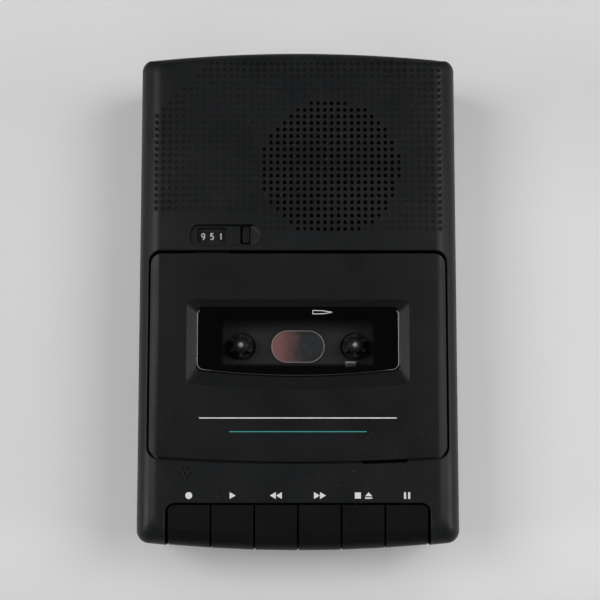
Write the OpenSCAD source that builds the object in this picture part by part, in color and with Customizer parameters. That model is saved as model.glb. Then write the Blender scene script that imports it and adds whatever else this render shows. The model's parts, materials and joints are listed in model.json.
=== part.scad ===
// Portable cassette recorder with piano keys, a flip-up cassette lid, a tape counter and a speaker grille.
// Millimetres. X runs across the case, Y from the keys to the speaker, Z up. The feet stand on Z = 0.

/* [Case] */
// Width of the case
body_w = 118; // [117:0.5:122]
// Length of the case from the keys to the speaker end
body_l = 185; // [184:0.5:192]
// Height of the top face above the table
body_h = 46; // [45.5:0.5:52]
// Wall thickness of both case halves
wall = 2.2; // [2:0.1:2.5]
// Rounding along the two long top edges
side_r = 8; // [7:0.5:9]
// Rounding of the top edge at the speaker end
rear_edge_r = 2.6; // [2.4:0.1:4]
// Rounding of the top edge at the key end
front_edge_r = 6; // [5:0.5:7]
// Rounding around the underside
base_edge_r = 2; // [1:0.5:3]
// How far the speaker end bows out
rear_bow = 3.3; // [1:0.1:4]
// How far the key end bows out
front_bow = 3.3; // [1:0.1:4]
// Corner radius in plan at the speaker end
rear_corner_r = 3.6; // [3:0.1:5]
// Corner radius in plan at the key end
front_corner_r = 4.8; // [4:0.1:6]
// Height of the parting line between the case halves
split_z = 22; // [21:0.5:23]
// Height of the lip that centres the case halves
lip_h = 1.4; // [1:0.1:2]
// Height of the rubber feet
foot_h = 1.5; // [1:0.1:2.5]
// Radius of the rubber feet
foot_r = 5; // [4:0.5:6]
// Radius of the screw bosses in the corners
boss_r = 2.9; // [2.7:0.1:3]
// Shank radius of every screw
screw_r = 1.3; // [1.1:0.1:1.4]
// Head radius of every screw
head_r = 2.4; // [2.2:0.1:2.5]
// Head height of every screw
head_h = 1.4; // [1:0.1:1.6]

/* [Fits] */
// Radial clearance of pins and shafts that turn
slip = 0.05; // [0.03:0.01:0.08]
// Gap between pieces that pass each other
clear = 0.4; // [0.3:0.05:0.5]
// Gap around pieces that are fastened in a seat
seat = 0.05; // [0.02:0.01:0.1]

/* [Lid] */
// Distance from the side of the case to the cassette lid
lid_side = 4.7; // [4.3:0.1:5]
// Length of the cassette lid on its middle line
lid_l = 76.3; // [76:0.1:78]
// Seam at the sides and front of the lid
lid_gap = 0.7; // [0.5:0.1:0.9]
// Seam at the hinge side of the lid
hinge_gap = 1.2; // [1.1:0.1:1.5]
// Thickness of the lid
lid_t = 2.2; // [2:0.1:2.4]
// How far the front edge of the lid bows out
lid_bow = 2; // [1:0.1:3]
// Corner radius of the lid
lid_corner_r = 4; // [3:0.1:5]
// Depth of the hinge axis under the top face
hinge_drop = 4.6; // [4.4:0.1:5]
// Distance of the hinge axis behind the lid
hinge_back = 3.8; // [3.6:0.1:4]
// Distance from the side of the case to each hinge arm
arm_side = 12; // [11.8:0.1:12.2]
// Width of each hinge arm
arm_w = 4; // [3:0.1:4.2]
// Radius of the hinge pins
pin_r = 1; // [0.8:0.1:1.1]
// Distance from the side of the lid to the window recess
recess_side = 13.4; // [12.4:0.1:14.2]
// Distance from the hinge edge of the lid to the recess
recess_back = 17; // [16:0.1:18]
// Length of the recess on its middle line
recess_l = 33.4; // [32:0.1:35]
// Depth of the recess
recess_d = 2; // [1.5:0.1:2.2]
// Distance from the side of the recess to the window lens
lens_side = 3.2; // [2.6:0.1:4.8]
// Distance from the hinge edge of the lid to the lens
lens_back = 19.5; // [18.8:0.1:20]
// Length of the lens on its middle line
lens_l = 26; // [25:0.1:27]
// How far the front edge of the lens bows out
lens_bow = 2.4; // [1.5:0.1:3]
// Thickness of the lens
lens_t = 1.5; // [1.2:0.1:1.8]
// Ledge that carries the lens
lens_ledge = 2.5; // [1.5:0.1:3]
// Height of the ledge under the lens
ledge_t = 0.9; // [0.7:0.1:1]
// Width of the latch lug under the lid
lug_w = 3.4; // [3:0.1:3.6]
// Thickness of the latch lug
lug_t = 1.7; // [1.4:0.1:2]
// Length of the latch lug
lug_h = 6.6; // [6:0.1:7]
// Length of the latch slot in the lower seam
slot_w = 16; // [12:0.5:17]
// Depth of the latch slot
slot_d = 0.8; // [0.5:0.1:1]

/* [Keys] */
// Distance from the side of the case to the first key
key_side = 11.6; // [11.45:0.05:12.2]
// Gap between neighbouring keys
key_gap = 0.7; // [0.6:0.05:0.9]
// Length of the key bay
bay_l = 17.4; // [17:0.1:18]
// Corner radius of the key bay
bay_r = 3.6; // [2.5:0.1:4.5]
// Drop of the key tops below the case
key_drop = 0.8; // [0.5:0.1:1.2]
// Rounding of the front of a key
key_front_r = 6; // [5:0.1:6.5]
// Room for a key to go down over the sill
key_under = 4.7; // [4.2:0.1:6]
// Height of the back of a key
key_back_h = 5; // [4:0.1:5.5]
// Wall thickness of a key
key_wall = 1.6; // [1.2:0.1:2]
// Width of the rib that joins a key to its hub
rib_w = 4; // [3:0.1:6]
// Radius of the key rod
rod_r = 1.5; // [1.2:0.1:1.7]
// Radius of a key hub
hub_r = 3.2; // [2.9:0.1:3.3]
// Length of a key hub
hub_l = 10.6; // [9:0.1:10.8]
// Distance of the rod behind the key bay
rod_back = 6.6; // [6.4:0.1:6.8]
// Height of the rod over the deck plate
rod_lift = 6.9; // [6.7:0.1:7.2]
// Thickness of the return spring comb
comb_t = 0.5; // [0.4:0.05:0.6]
// Width of a spring finger
finger_w = 5; // [4:0.1:8]

/* [Case front] */
// Length of the strip between the keys and the lid
strip_l = 14.9; // [14.7:0.1:15.2]
// Height of the sill under the keys above the parting line
sill_h = 3; // [2.8:0.1:3.4]
// Thickness of the side walls of the key bay
cheek_t = 1.5; // [1.2:0.1:1.6]
// Distance from the side of the case to the microphone port
mic_side = 18.3; // [17.5:0.1:19]
// Distance of the microphone port behind the key bay
mic_back = 10.6; // [10.4:0.1:10.8]
// Radius of the microphone capsule
mic_r = 4.2; // [3.5:0.1:4.4]
// Height of the microphone capsule
mic_h = 4.4; // [4:0.1:5]
// Radius of the port holes
port_r = 0.5; // [0.4:0.05:0.6]
// Radius of the ring of port holes
port_ring_r = 1.9; // [1.6:0.1:2.4]

/* [Speaker] */
// Distance between the grille holes
grille_pitch = 2.5; // [2.4:0.05:2.6]
// Radius of a grille hole
grille_hole_r = 0.65; // [0.5:0.05:0.8]
// Blind ring between the speaker's rim and the perforated field
grille_in = 2.6; // [2.5:0.1:4]
// Columns from the middle line to the speaker
speaker_column = 5; // [4:1:5]
// Distance from the hinge edge of the lid to the speaker's rim
speaker_back = 4.5; // [4.3:0.1:6]
// Distance from the speaker's rim to the speaker end of the case
speaker_end = 14.9; // [14.3:0.1:16]
// Width of the speaker's rim
rim_w = 4; // [3:0.1:4.5]
// Thickness of the speaker's rim
rim_t = 1.4; // [1:0.1:1.8]
// Depth of the speaker's basket
basket_d = 10.5; // [9:0.1:11]
// Radius of the magnet
magnet_r = 15; // [12:0.5:16]
// Gap between the magnet and the roof of the battery bay
magnet_gap = 2.4; // [1:0.1:4]
// Thickness of the paper cone
cone_t = 0.6; // [0.5:0.1:0.8]
// Radius of the dust cap
cap_r = 7; // [6:0.1:8]

/* [Counter] */
// Length of the counter recess
pill_l = 26; // [25.6:0.1:26.4]
// Width of the counter recess
pill_w = 7.8; // [7.6:0.1:8]
// Depth of the counter recess
pill_d = 1.4; // [1:0.1:1.5]
// Distance from the side of the case to the middle of the counter
pill_side = 31.8; // [31.6:0.1:32]
// Distance of the recess behind the lid
pill_back = 7; // [6.9:0.1:7.3]
// Thickness of the pad under the recess
pad_t = 1.5; // [1.2:0.1:1.8]
// Radius of the number wheels
wheel_r = 5.2; // [4.8:0.1:5.4]
// Width of a number wheel
wheel_w = 3; // [2.6:0.1:3.1]
// Distance between the number wheels
wheel_pitch = 3.3; // [3.2:0.05:3.5]
// Distance from the middle of the counter to its number wheels
wheel_left = 4.8; // [4.6:0.1:5]
// Radius of the counter axle
axle_r = 0.9; // [0.8:0.05:1]
// Wall thickness of the counter frame
frame_t = 1.2; // [1:0.1:1.4]
// Thickness of the counter window
pane_t = 1; // [0.8:0.1:1.2]
// Width of the reset button
button_w = 2.4; // [2.2:0.1:2.6]
// Distance from the middle of the counter to its reset button
button_right = 8; // [7.8:0.1:8.2]
// Travel of the reset button
button_travel = 1.5; // [1:0.1:1.6]

/* [Tape deck] */
// Distance between the spindles
hub_spacing = 42.5; // [42.3:0.1:42.7]
// Distance of the spindles from the hinge edge of the lid
reel_back = 33.1; // [32.8:0.1:33.4]
// Distance from the spindles to the tape edge of a cassette
tape_edge_l = 34.8; // [34.6:0.1:35]
// Depth of the top of a cassette under the top face
cassette_drop = 5.4; // [5.2:0.1:5.8]
// Thickness of a cassette at its reels
cassette_t = 8.7; // [8.6:0.1:8.8]
// Height of the rests that carry the cassette
rest_h = 1.9; // [1.8:0.1:2.2]
// Thickness of the well floor
well_t = 1.5; // [1.2:0.1:1.7]
// Distance from the side of the case to the well
well_side = 6.6; // [6.4:0.1:7]
// Gap between the well and the deck plate
deck_gap = 1.9; // [1.9:0.1:2.2]
// Thickness of the deck plate
deck_t = 1.2; // [1:0.1:1.3]
// Radius of a spindle's drum
spindle_r = 2.9; // [2.6:0.1:3]
// Radius over the drive vanes of a spindle
vane_r = 4.3; // [4:0.1:4.4]
// Thickness of a drive vane
vane_t = 1; // [0.8:0.1:1.2]
// Radius of the disc under a spindle
reel_disc_r = 10; // [9:0.5:11]
// Height of a spindle over the well floor
spindle_h = 9; // [8:0.1:9.2]
// Radius of a spindle's steel pin
reel_pin_r = 1; // [0.9:0.05:1.1]
// Radius of the openings around the spindles
reel_hole_r = 5.3; // [5.1:0.1:5.6]
// Length of the view mirror
mirror_l = 20.2; // [19:0.1:21]
// Width of the view mirror
mirror_w = 12.2; // [11:0.1:13]
// Thickness of the view mirror
mirror_t = 0.8; // [0.6:0.1:1]
// Distance from the side of the case to the deck screws
deck_screw_side = 13; // [12.6:0.1:13.5]
// Distance of the rear deck screws from the spindles
deck_screw_rear = 22; // [21:0.1:22.5]
// Distance of the front deck screws from the spindles
deck_screw_front = 14; // [13:0.1:15]

/* [Drive] */
// Distance of the capstan from the middle line
capstan_x = 22.5; // [22:0.1:23]
// Distance of the capstan from the line of the spindles
capstan_front = 28.3; // [28:0.1:28.6]
// Radius of the capstan
capstan_r = 1; // [0.9:0.05:1.1]
// Radius of the capstan bush
bush_r = 2.6; // [2.4:0.1:2.8]
// Height of the bush over the deck plate
bush_h = 4.4; // [4:0.1:5]
// Radius of the flywheel
flywheel_r = 16.5; // [15.5:0.5:17]
// Thickness of the flywheel
flywheel_t = 5; // [4.4:0.1:5.2]
// Gap between the flywheel and the deck plate
flywheel_gap = 2; // [1.8:0.1:2.2]
// Thickness of the flywheel bracket
bracket_t = 1.2; // [1:0.1:1.4]
// Width of the flywheel bracket
bracket_w = 8; // [7:0.5:9]
// Radius of the motor
motor_r = 12; // [11:0.5:12.5]
// Gap between the motor and its pulley
motor_gap = 1.2; // [0.8:0.1:2]
// Radius of the motor shaft
shaft_r = 1; // [0.8:0.05:1.1]
// Radius of the motor pulley
pulley_r = 3.2; // [2.8:0.1:3.6]
// Distance of the motor left of the middle line
motor_x = 22; // [21:0.1:23]
// Distance of the motor from the line of the spindles
motor_front = 21; // [20:0.1:22]
// Width of the drive belt
belt_w = 2.4; // [2:0.1:2.8]
// Thickness of the drive belt
belt_t = 0.8; // [0.6:0.1:1]
// Travel of the head plate
head_travel = 4.4; // [4:0.1:4.5]
// Thickness of the head plate
head_plate_t = 1; // [0.8:0.1:1.2]
// Gap between the heads at rest and a cassette
head_rest = 1.4; // [1.2:0.1:1.6]
// Width of the record and play head
head_w = 12; // [10:0.5:13]
// Depth of the record and play head
head_d = 6.4; // [6:0.1:8.4]
// Height of the heads
head_h_tape = 9; // [8:0.1:10]
// Width of the erase head
erase_w = 6; // [5:0.5:7]
// Distance of the erase head left of the middle line
erase_x = 15.5; // [14:0.1:16]
// Radius of the pinch roller
roller_r = 5; // [4.6:0.1:5.2]
// Height of the pinch roller
roller_h = 6.4; // [6:0.1:7]
// Travel of the lid latch
latch_travel = 2.5; // [2:0.1:2.6]
// Width of the lid latch
latch_w = 2.6; // [2.2:0.1:2.8]

/* [Power and sockets] */
// Diameter of a battery cell
cell_d = 14.5; // [14.3:0.1:14.7]
// Length of the battery bay
battery_l = 57; // [56:0.5:57.5]
// Number of cells side by side
cell_count = 4; // [4:1:4]
// Wall thickness of the battery bay
cell_wall = 1.5; // [1.2:0.1:1.8]
// Distance of the battery bay from the speaker end
battery_back = 4.2; // [4:0.1:4.6]
// Thickness of the battery door
door_t = 1.8; // [1.6:0.1:1.9]
// Width of the tongues that guide the battery door
tongue_w = 1.6; // [1.2:0.1:1.8]
// Thickness of the tongues
tongue_t = 0.9; // [0.7:0.1:1]
// Wire radius of the battery springs
wire_r = 0.35; // [0.3:0.05:0.4]
// Length of a battery spring
contact_l = 5; // [4.5:0.1:5.5]
// Height of the circuit board over the case floor
board_lift = 2.4; // [2:0.1:2.8]
// Thickness of the circuit board
board_t = 1.6; // [1.2:0.1:1.8]
// Height of the socket axes over the circuit board
socket_lift = 5; // [4.8:0.1:5.4]
// Radius of the signal sockets
socket_r = 1.8; // [1.75:0.05:1.85]
// Radius of the power socket
power_r = 2.8; // [2.6:0.1:2.9]
// Radius of the pin in the power socket
power_pin_r = 0.65; // [0.6:0.05:0.8]
// Radius of the socket collars in the side wall
collar_r = 3.4; // [3.2:0.1:3.8]
// Depth of a socket
socket_l = 11; // [10:0.1:11.5]
// Distance between the sockets
socket_pitch = 13; // [12.6:0.1:14]
// Distance of the first socket behind the spindles
socket_back = 39; // [38:0.5:40]
// Radius of the volume wheel
volume_r = 10.5; // [10:0.1:11]
// Thickness of the volume wheel
volume_t = 4; // [3.5:0.1:4.4]
// Distance of the volume wheel behind the spindles
volume_back = 7; // [6:0.1:8]

/* [Hidden] */
$fn = 48;
corner_steps = 6;
bow_steps = 12;
edge_steps = 6;
eps = 0.01;
half_w = body_w / 2;
y_front = -body_l / 2;
y_rear = body_l / 2;
base_z = foot_h;
floor_z = base_z + wall;
skin_z = body_h - wall;
bay_y = y_front + bay_l;
lid_front = bay_y + strip_l;
lid_rear = lid_front + lid_l;
opening_rear = lid_rear + hinge_gap;
reel_y = lid_rear - reel_back;
reel_x = hub_spacing / 2;
cassette_top = body_h - cassette_drop;
tape_z = cassette_top - cassette_t / 2;
well_z = cassette_top - cassette_t - rest_h;
well_under = well_z - well_t;
deck_z = well_under - deck_gap;
deck_under = deck_z - deck_t;
tape_edge = reel_y - tape_edge_l;
// Widths that follow the case
lid_w = body_w - 2 * lid_side;
recess_w = lid_w - 2 * recess_side;
lens_w = recess_w - 2 * lens_side;
arm_x = half_w - arm_side;
key_pitch = (half_w - key_side) / 3;
mic_x = half_w - mic_side;
pill_x = half_w - pill_side;
wheel_x = pill_x + wheel_left;
button_x = pill_x - button_right;
well_hw = half_w - well_side;
deck_screw_x = half_w - deck_screw_side;
// Lid window
lens_z = body_h - recess_d;
lens_rear = lid_rear - lens_back;
lens_front = lens_rear - lens_l;
recess_rear = lid_rear - recess_back;
recess_front = recess_rear - recess_l;
pan_z = lens_z - lens_t - ledge_t;
lens_r = 3;
pan_rim = 1.2;
pan_r = 4;
spring_x = 18;
spring_w = 6;
spring_step = 3;
spring_t = 0.4;
// Lid hinge
hinge_y = lid_rear + hinge_back;
hinge_z = body_h - hinge_drop;
knuckle_r = hinge_drop - wall - clear;
neck_t = 2.2;
neck_back = 5.9;
neck_l = 2;
undercut = 1.7;
ear_t = 1.8;
ear_margin = 1.6;
side_play = 0.3;
pin_hl = arm_w / 2 + side_play + ear_t;
// Keys
key_x = [for (i = [0:5]) (i - 2.5) * key_pitch];
bay_hw = 3 * key_pitch + key_gap;
key_top = body_h - key_drop;
key_back = bay_y - key_gap;
key_low = split_z + sill_h + key_under;
rod_y = bay_y + rod_back;
rod_z = deck_z + rod_lift;
ear_hw = bay_hw + 2.2;
ear_plate_t = 1.2;
ear_plate_hl = 3.4;
deck_front = bay_y + 1.5;
comb_front = deck_front + 0.2;
comb_seat = 3;
comb_reach = 6;
// Screws and feet
boss_x = half_w - wall - boss_r + 0.1;
boss_rear = y_rear - wall - boss_r - 1.6;
boss_front = y_front + wall + boss_r + 3;
screw_play = 0.2;
screw_bite = 9;
head_z = floor_z + 1;
cross_w = 0.7;
cross_d = 0.7;
foot_x = half_w - 11;
foot_in = 13;
// Speaker
speaker_x = speaker_column * grille_pitch;
speaker_r = (y_rear - lid_rear - speaker_back - speaker_end) / 2;
speaker_y = lid_rear + speaker_back + speaker_r;
grille_r = speaker_r - grille_in;
rim_z = skin_z - rim_t;
ring_t = 1.2;
ring_h = 3;
basket_t = 1.2;
basket_flange = 3;
roll_w = 4;
cap_h = 2.2;
// Microphone
mic_y = bay_y + mic_back;
mic_ring_t = 1;
mic_dish = 0.6;
// Counter
pill_y = lid_rear + pill_back;
pill_floor = body_h - pill_d;
pad_z = skin_z - pad_t;
axle_z = pad_z - clear - wheel_r;
frame_y = wheel_r + clear;
frame_hx = 1.5 * wheel_pitch + clear;
frame_base = axle_z - wheel_r - clear - frame_t;
window_hx = 1.5 * wheel_pitch + 0.3;
window_hy = 2.9;
pad_rim = 1.2;
button_flange = 1;
button_base = pad_z - 2;
// Tape deck
well_rear = reel_y + 30.4;
well_side_t = 1.5;
well_end_t = 1.3;
rest_x = 34;
rest_w = 6;
rest_l = 4;
deck_rear = reel_y + 28;
deck_screw_y = [reel_y - deck_screw_front, reel_y + deck_screw_rear];
disc_t = 1.2;
disc_lift = 0.3;
collar_lift = 1.6;
tip_h = 1.2;
spindle_top = well_z + spindle_h;
tab_w = 4;
tab_h = 3;
tab_t = 0.6;
// Drive
capstan_y = reel_y - capstan_front;
well_front = capstan_y + 4;
flywheel_top = deck_under - flywheel_gap;
flywheel_low = flywheel_top - flywheel_t;
belt_z = flywheel_low + (flywheel_t - belt_w) / 2;
bracket_z = flywheel_low - 1.5;
flywheel_rim = 4;
flywheel_web = 3.4;
motor_y = reel_y - motor_front;
motor_cup_h = 5;
pulley_flange = 0.8;
motor_top = belt_z - pulley_flange - motor_gap;
head_face = tape_edge - head_rest;
head_low = tape_z - head_h_tape / 2;
head_plate_z = deck_z + 0.1;
head_plate_top = head_plate_z + head_plate_t;
head_plate_rear = head_face + 0.6;
head_plate_front = rod_y - 0.5;
roller_y = capstan_y - capstan_r - roller_r - 0.1 - head_travel;
roller_pin_r = 0.9;
roller_low = tape_z - roller_h / 2;
pinch_t = 1.2;
pinch_hw = 3;
pinch_back = 6.4;
guide_x = [-22, 14];
guide_y = head_plate_front + 4.5;
guide_r = 1.4;
latch_x = (key_x[4] + key_x[5]) / 2;
latch_rear = head_plate_rear - 4.6;
latch_front = latch_rear - 5.2;
// Battery bay and sockets
battery_hw = cell_count * cell_d / 2 + 1;
battery_rear = y_rear - battery_back;
battery_front = battery_rear - battery_l;
roof_z = floor_z + cell_d + 0.8;
board_z = floor_z + board_lift;
board_top = board_z + board_t;
socket_z = board_top + socket_lift;
board_hx = half_w - wall - 1.6;
board_left = -6;
board_gap = 8.8;
board_front = reel_y - 42;
board_step = battery_front - cell_wall - board_gap;
socket_y = [for (i = [0:2]) reel_y + socket_back + i * socket_pitch];
board_rear = socket_y[2] + 12;
board_posts = [
    [2, board_front + 4], [board_hx - 6, board_front + 4], [2, board_step - 8], [board_hx - 5, board_rear - 5]
];
collar_face = half_w - 0.3;
jack_hw = 4.4;
jack_h = 4.2;
can_pitch = 9;
can_h = 7;
chip_pitch = 2.3;
volume_x = half_w - volume_r;
volume_y = reel_y + volume_back;
volume_z = board_top + 4.6;
volume_slot_hw = 8;
volume_post_r = 3;
volume_teeth = 48;
tooth_d = 0.4;
cell_x = [for (i = [0:cell_count - 1]) (i - (cell_count - 1) / 2) * cell_d];
cell_z = floor_z + cell_d / 2 + 0.4;
plate_w = 11;
plate_t = 0.5;
coil_r = 4;
coil_tip_r = 2.4;
coil_turns = 4;
grip_hw = 8;
grip_w = 1.2;
grip_pitch = 3;
grip_d = 0.6;
case_color = [0.135, 0.135, 0.14];
steel_color = [0.72, 0.73, 0.74];

// Points of an arc from angle a to angle b
function arc(cx, cy, r, a, b, n) =
    [for (i = [0:n]) let (t = a + (b - a) * i / n) [cx + r * cos(t), cy + r * sin(t)]];

// Outline with rounded corners whose front and rear ends bow out, counter-clockwise from the front right corner
function bowed(hw, front, rear, front_r, rear_r, front_b, rear_b) =
    let (
        fa = atan(2 * front_b * (hw - front_r) / hw / hw),
        ra = atan(2 * rear_b * (hw - rear_r) / hw / hw),
        fx = hw - front_r + front_r * sin(fa),
        rx = hw - rear_r + rear_r * sin(ra),
        fy = front + front_b * pow(fx / hw, 2) + front_r * cos(fa),
        ry = rear - rear_b * pow(rx / hw, 2) - rear_r * cos(ra)
    )
    concat(
        arc(hw - front_r, fy, front_r, -90 + fa, 0, corner_steps),
        arc(hw - rear_r, ry, rear_r, 0, 90 - ra, corner_steps),
        [for (i = [1:bow_steps - 1]) let (x = rx * (1 - 2 * i / bow_steps))
            [x, rear - rear_b * pow(x / hw, 2)]],
        arc(rear_r - hw, ry, rear_r, 90 + ra, 180, corner_steps),
        arc(front_r - hw, fy, front_r, 180, 270 - fa, corner_steps),
        [for (i = [1:bow_steps - 1]) let (x = fx * (2 * i / bow_steps - 1))
            [x, front + front_b * pow(x / hw, 2)]]
    );

// A value for each point of bowed(), from those of its sides, front and rear
function around(side, front, rear) =
    concat(
        [for (i = [0:corner_steps]) front + (side - front) * i / corner_steps],
        [for (i = [0:corner_steps]) side + (rear - side) * i / corner_steps],
        [for (i = [1:bow_steps - 1]) rear],
        [for (i = [0:corner_steps]) rear + (side - rear) * i / corner_steps],
        [for (i = [0:corner_steps]) side + (front - side) * i / corner_steps],
        [for (i = [1:bow_steps - 1]) front]
    );

function case_outline(inset) =
    bowed(half_w - inset, y_front + inset, y_rear - inset,
        max(front_corner_r - inset, 1), max(rear_corner_r - inset, 1), front_bow, rear_bow);

// One ring of the case where its edge rounding has turned by angle a
function case_ring(inset, a, side, front, rear, z_face, up) =
    let (
        turn = 1 - cos(a),
        radii = around(side, front, rear),
        ring = bowed(half_w - inset - side * turn, y_front + inset + front * turn, y_rear - inset - rear * turn,
            max(front_corner_r - inset, 1), max(rear_corner_r - inset, 1), front_bow, rear_bow)
    )
    [for (i = [0:len(ring) - 1]) [ring[i].x, ring[i].y, z_face - up * radii[i] * (1 - sin(a))]];

// Solid that joins rings of equal length, with a flat face on its first and its last ring
module skin(rings, up) {
    n = len(rings[0]);
    last = (len(rings) - 1) * n;
    side = [for (k = [0:len(rings) - 2]) for (i = [0:n - 1])
        let (a = k * n + i, b = k * n + (i + 1) % n) each [[a, a + n, b + n], [a, b + n, b]]];
    ends = [[for (i = [0:n - 1]) i], [for (i = [n - 1:-1:0]) last + i]];
    faces = concat(side, ends);
    polyhedron(points = [for (r = rings) each r],
        faces = up > 0 ? faces : [for (f = faces) [for (i = [len(f) - 1:-1:0]) f[i]]]);
}

// Block of the case between an open level and a rounded face above or below it
module case_block(inset, z_open, z_face, side, front, rear) {
    up = z_face > z_open ? 1 : -1;
    base = [for (p = case_outline(inset)) [p.x, p.y, z_open]];
    skin(concat([base], [for (k = [0:edge_steps])
        case_ring(inset, 90 * k / edge_steps, side, front, rear, z_face, up)]), up);
}

module outer_block() {
    case_block(0, split_z, body_h, side_r, front_edge_r, rear_edge_r);
}

module inner_block(t) {
    case_block(t, split_z - 1, body_h - t, side_r - t, front_edge_r - t, max(rear_edge_r - t, 0.4));
}

module prism(points, low, high) {
    translate([0, 0, low]) linear_extrude(high - low) polygon(points);
}

module box(x0, x1, y0, y1, z0, z1) {
    translate([x0, y0, z0]) cube([x1 - x0, y1 - y0, z1 - z0]);
}

module post(x, y, r, low, high) {
    translate([x, y, low]) cylinder(r = r, h = high - low);
}

module bar_x(x0, x1, y, z, r) {
    translate([x0, y, z]) rotate([0, 90, 0]) cylinder(r = r, h = x1 - x0);
}

module along_x(x0, x1) {
    translate([x0, 0, 0]) rotate([90, 0, 90]) linear_extrude(x1 - x0) children();
}

module both_sides() {
    children();
    mirror([1, 0, 0]) children();
}

module corners(x, front, rear) {
    for (sx = [-1, 1], y = [front, rear]) translate([sx * x, y, 0]) children();
}

// Rectangle with round ends, long along X
module slot_2d(l, w) {
    square([l - w, w], center = true);
    for (s = [-1, 1]) translate([s * (l - w) / 2, 0]) circle(d = w);
}

function lid_outline(grow, rear_grow) =
    bowed(lid_w / 2 + grow, lid_front - grow, lid_rear + rear_grow,
        lid_corner_r + grow, lid_corner_r + grow, lid_bow, 0);

function lens_outline(inset) =
    bowed(lens_w / 2 - inset, lens_front + inset, lens_rear - inset, lens_r, lens_r, lens_bow, 0);

function bay_outline(inset) =
    bowed(bay_hw - inset, y_front - wall, bay_y - inset, 1, bay_r - inset, 0, 0);

module case_lip(grow, high) {
    difference() {
        prism(case_outline(wall / 2 + seat - grow), split_z - grow, high);
        prism(case_outline(wall + grow), split_z - 1, high + 1);
    }
}

// Perforated round field of the speaker grille
module grille_holes() {
    span = ceil(grille_r / grille_pitch);
    for (i = [-span:span], k = [-span:span]) {
        dx = i * grille_pitch;
        dy = (k + 0.5) * grille_pitch;
        if (dx * dx + dy * dy < grille_r * grille_r)
            translate([speaker_x + dx, speaker_y + dy, skin_z - 1])
                cylinder(r = grille_hole_r, h = wall + 2, $fn = 8);
    }
}

module mic_holes() {
    translate([-mic_x, mic_y, skin_z - 1]) {
        cylinder(r = port_r, h = wall + 2, $fn = 24);
        for (a = [0:60:300]) rotate(a) translate([port_ring_r, 0, 0])
            cylinder(r = port_r, h = wall + 2, $fn = 24);
    }
}

module counter_cut() {
    translate([-pill_x, pill_y, pill_floor]) linear_extrude(pill_d + 1) slot_2d(pill_l, pill_w);
    box(-wheel_x - window_hx - seat, -wheel_x + window_hx + seat, pill_y - window_hy - seat,
        pill_y + window_hy + seat, pad_z - 1, body_h);
    box(-button_x - button_w / 2 - clear, -button_x + button_w / 2 + clear, pill_y - window_hy - clear,
        pill_y + window_hy + clear, pad_z - 1, body_h);
}

module hinge_ears() {
    reach = pin_r + ear_margin;
    for (x = [arm_x - pin_hl, arm_x + pin_hl - ear_t])
        box(x, x + ear_t, opening_rear + clear, hinge_y + reach, hinge_z - reach, skin_z + eps);
}

module top_bosses() {
    intersection() {
        outer_block();
        union() {
            corners(boss_x, boss_front, boss_rear)
                cylinder(r = boss_r, h = skin_z - 1);
            both_sides() box(bay_hw, bay_hw + cheek_t, y_front, bay_y, split_z, skin_z + eps);
        }
    }
}

module top_case() {
    color(case_color) difference() {
        union() {
            difference() {
                outer_block();
                inner_block(wall);
            }
            difference() {
                top_bosses();
                prism(case_outline(-1), 0, split_z);
            }
            translate([-pill_x, pill_y, pad_z]) linear_extrude(pad_t + eps)
                slot_2d(pill_l + 2 * pad_rim, pill_w + 2 * pad_rim);
            both_sides() hinge_ears();
            post(-mic_x, mic_y, mic_r + seat + mic_ring_t, skin_z - mic_h + mic_dish, skin_z + eps);
            translate([speaker_x, speaker_y, skin_z - ring_h]) difference() {
                cylinder(r = speaker_r + seat + ring_t, h = ring_h + eps);
                translate([0, 0, -1]) cylinder(r = speaker_r + seat, h = ring_h + 2);
            }
        }
        prism(lid_outline(lid_gap, hinge_gap), skin_z - 8, body_h + 1);
        box(latch_x - slot_w / 2, latch_x + slot_w / 2, lid_front - lid_gap - slot_d, lid_front + 2,
            skin_z - 1, body_h + 1);
        prism(bay_outline(0), split_z + sill_h, body_h + 1);
        grille_holes();
        mic_holes();
        post(-mic_x, mic_y, mic_r + seat, skin_z - mic_h - 1, skin_z);
        counter_cut();
        case_lip(seat, split_z + lip_h + 0.2);
        corners(boss_x, boss_front, boss_rear)
            post(0, 0, screw_r + seat, split_z - 1, split_z + screw_bite + 2);
        both_sides() bar_x(arm_x - pin_hl - 1, arm_x + pin_hl + 1, hinge_y, hinge_z, pin_r + seat / 2);
    }
}

module battery_walls() {
    difference() {
        box(-battery_hw - cell_wall, battery_hw + cell_wall, battery_front - cell_wall, battery_rear + cell_wall,
            floor_z - eps, roof_z + cell_wall);
        box(-battery_hw, battery_hw, battery_front, battery_rear, floor_z - 1, roof_z);
    }
}

module door_cut() {
    box(-battery_hw, battery_hw, battery_front, y_rear + 1, base_z - 1, floor_z + eps);
    box(-battery_hw - tongue_w - clear, battery_hw + tongue_w + clear, battery_front, y_rear + 1,
        floor_z - tongue_t - 2 * clear, floor_z + eps);
}

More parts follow.
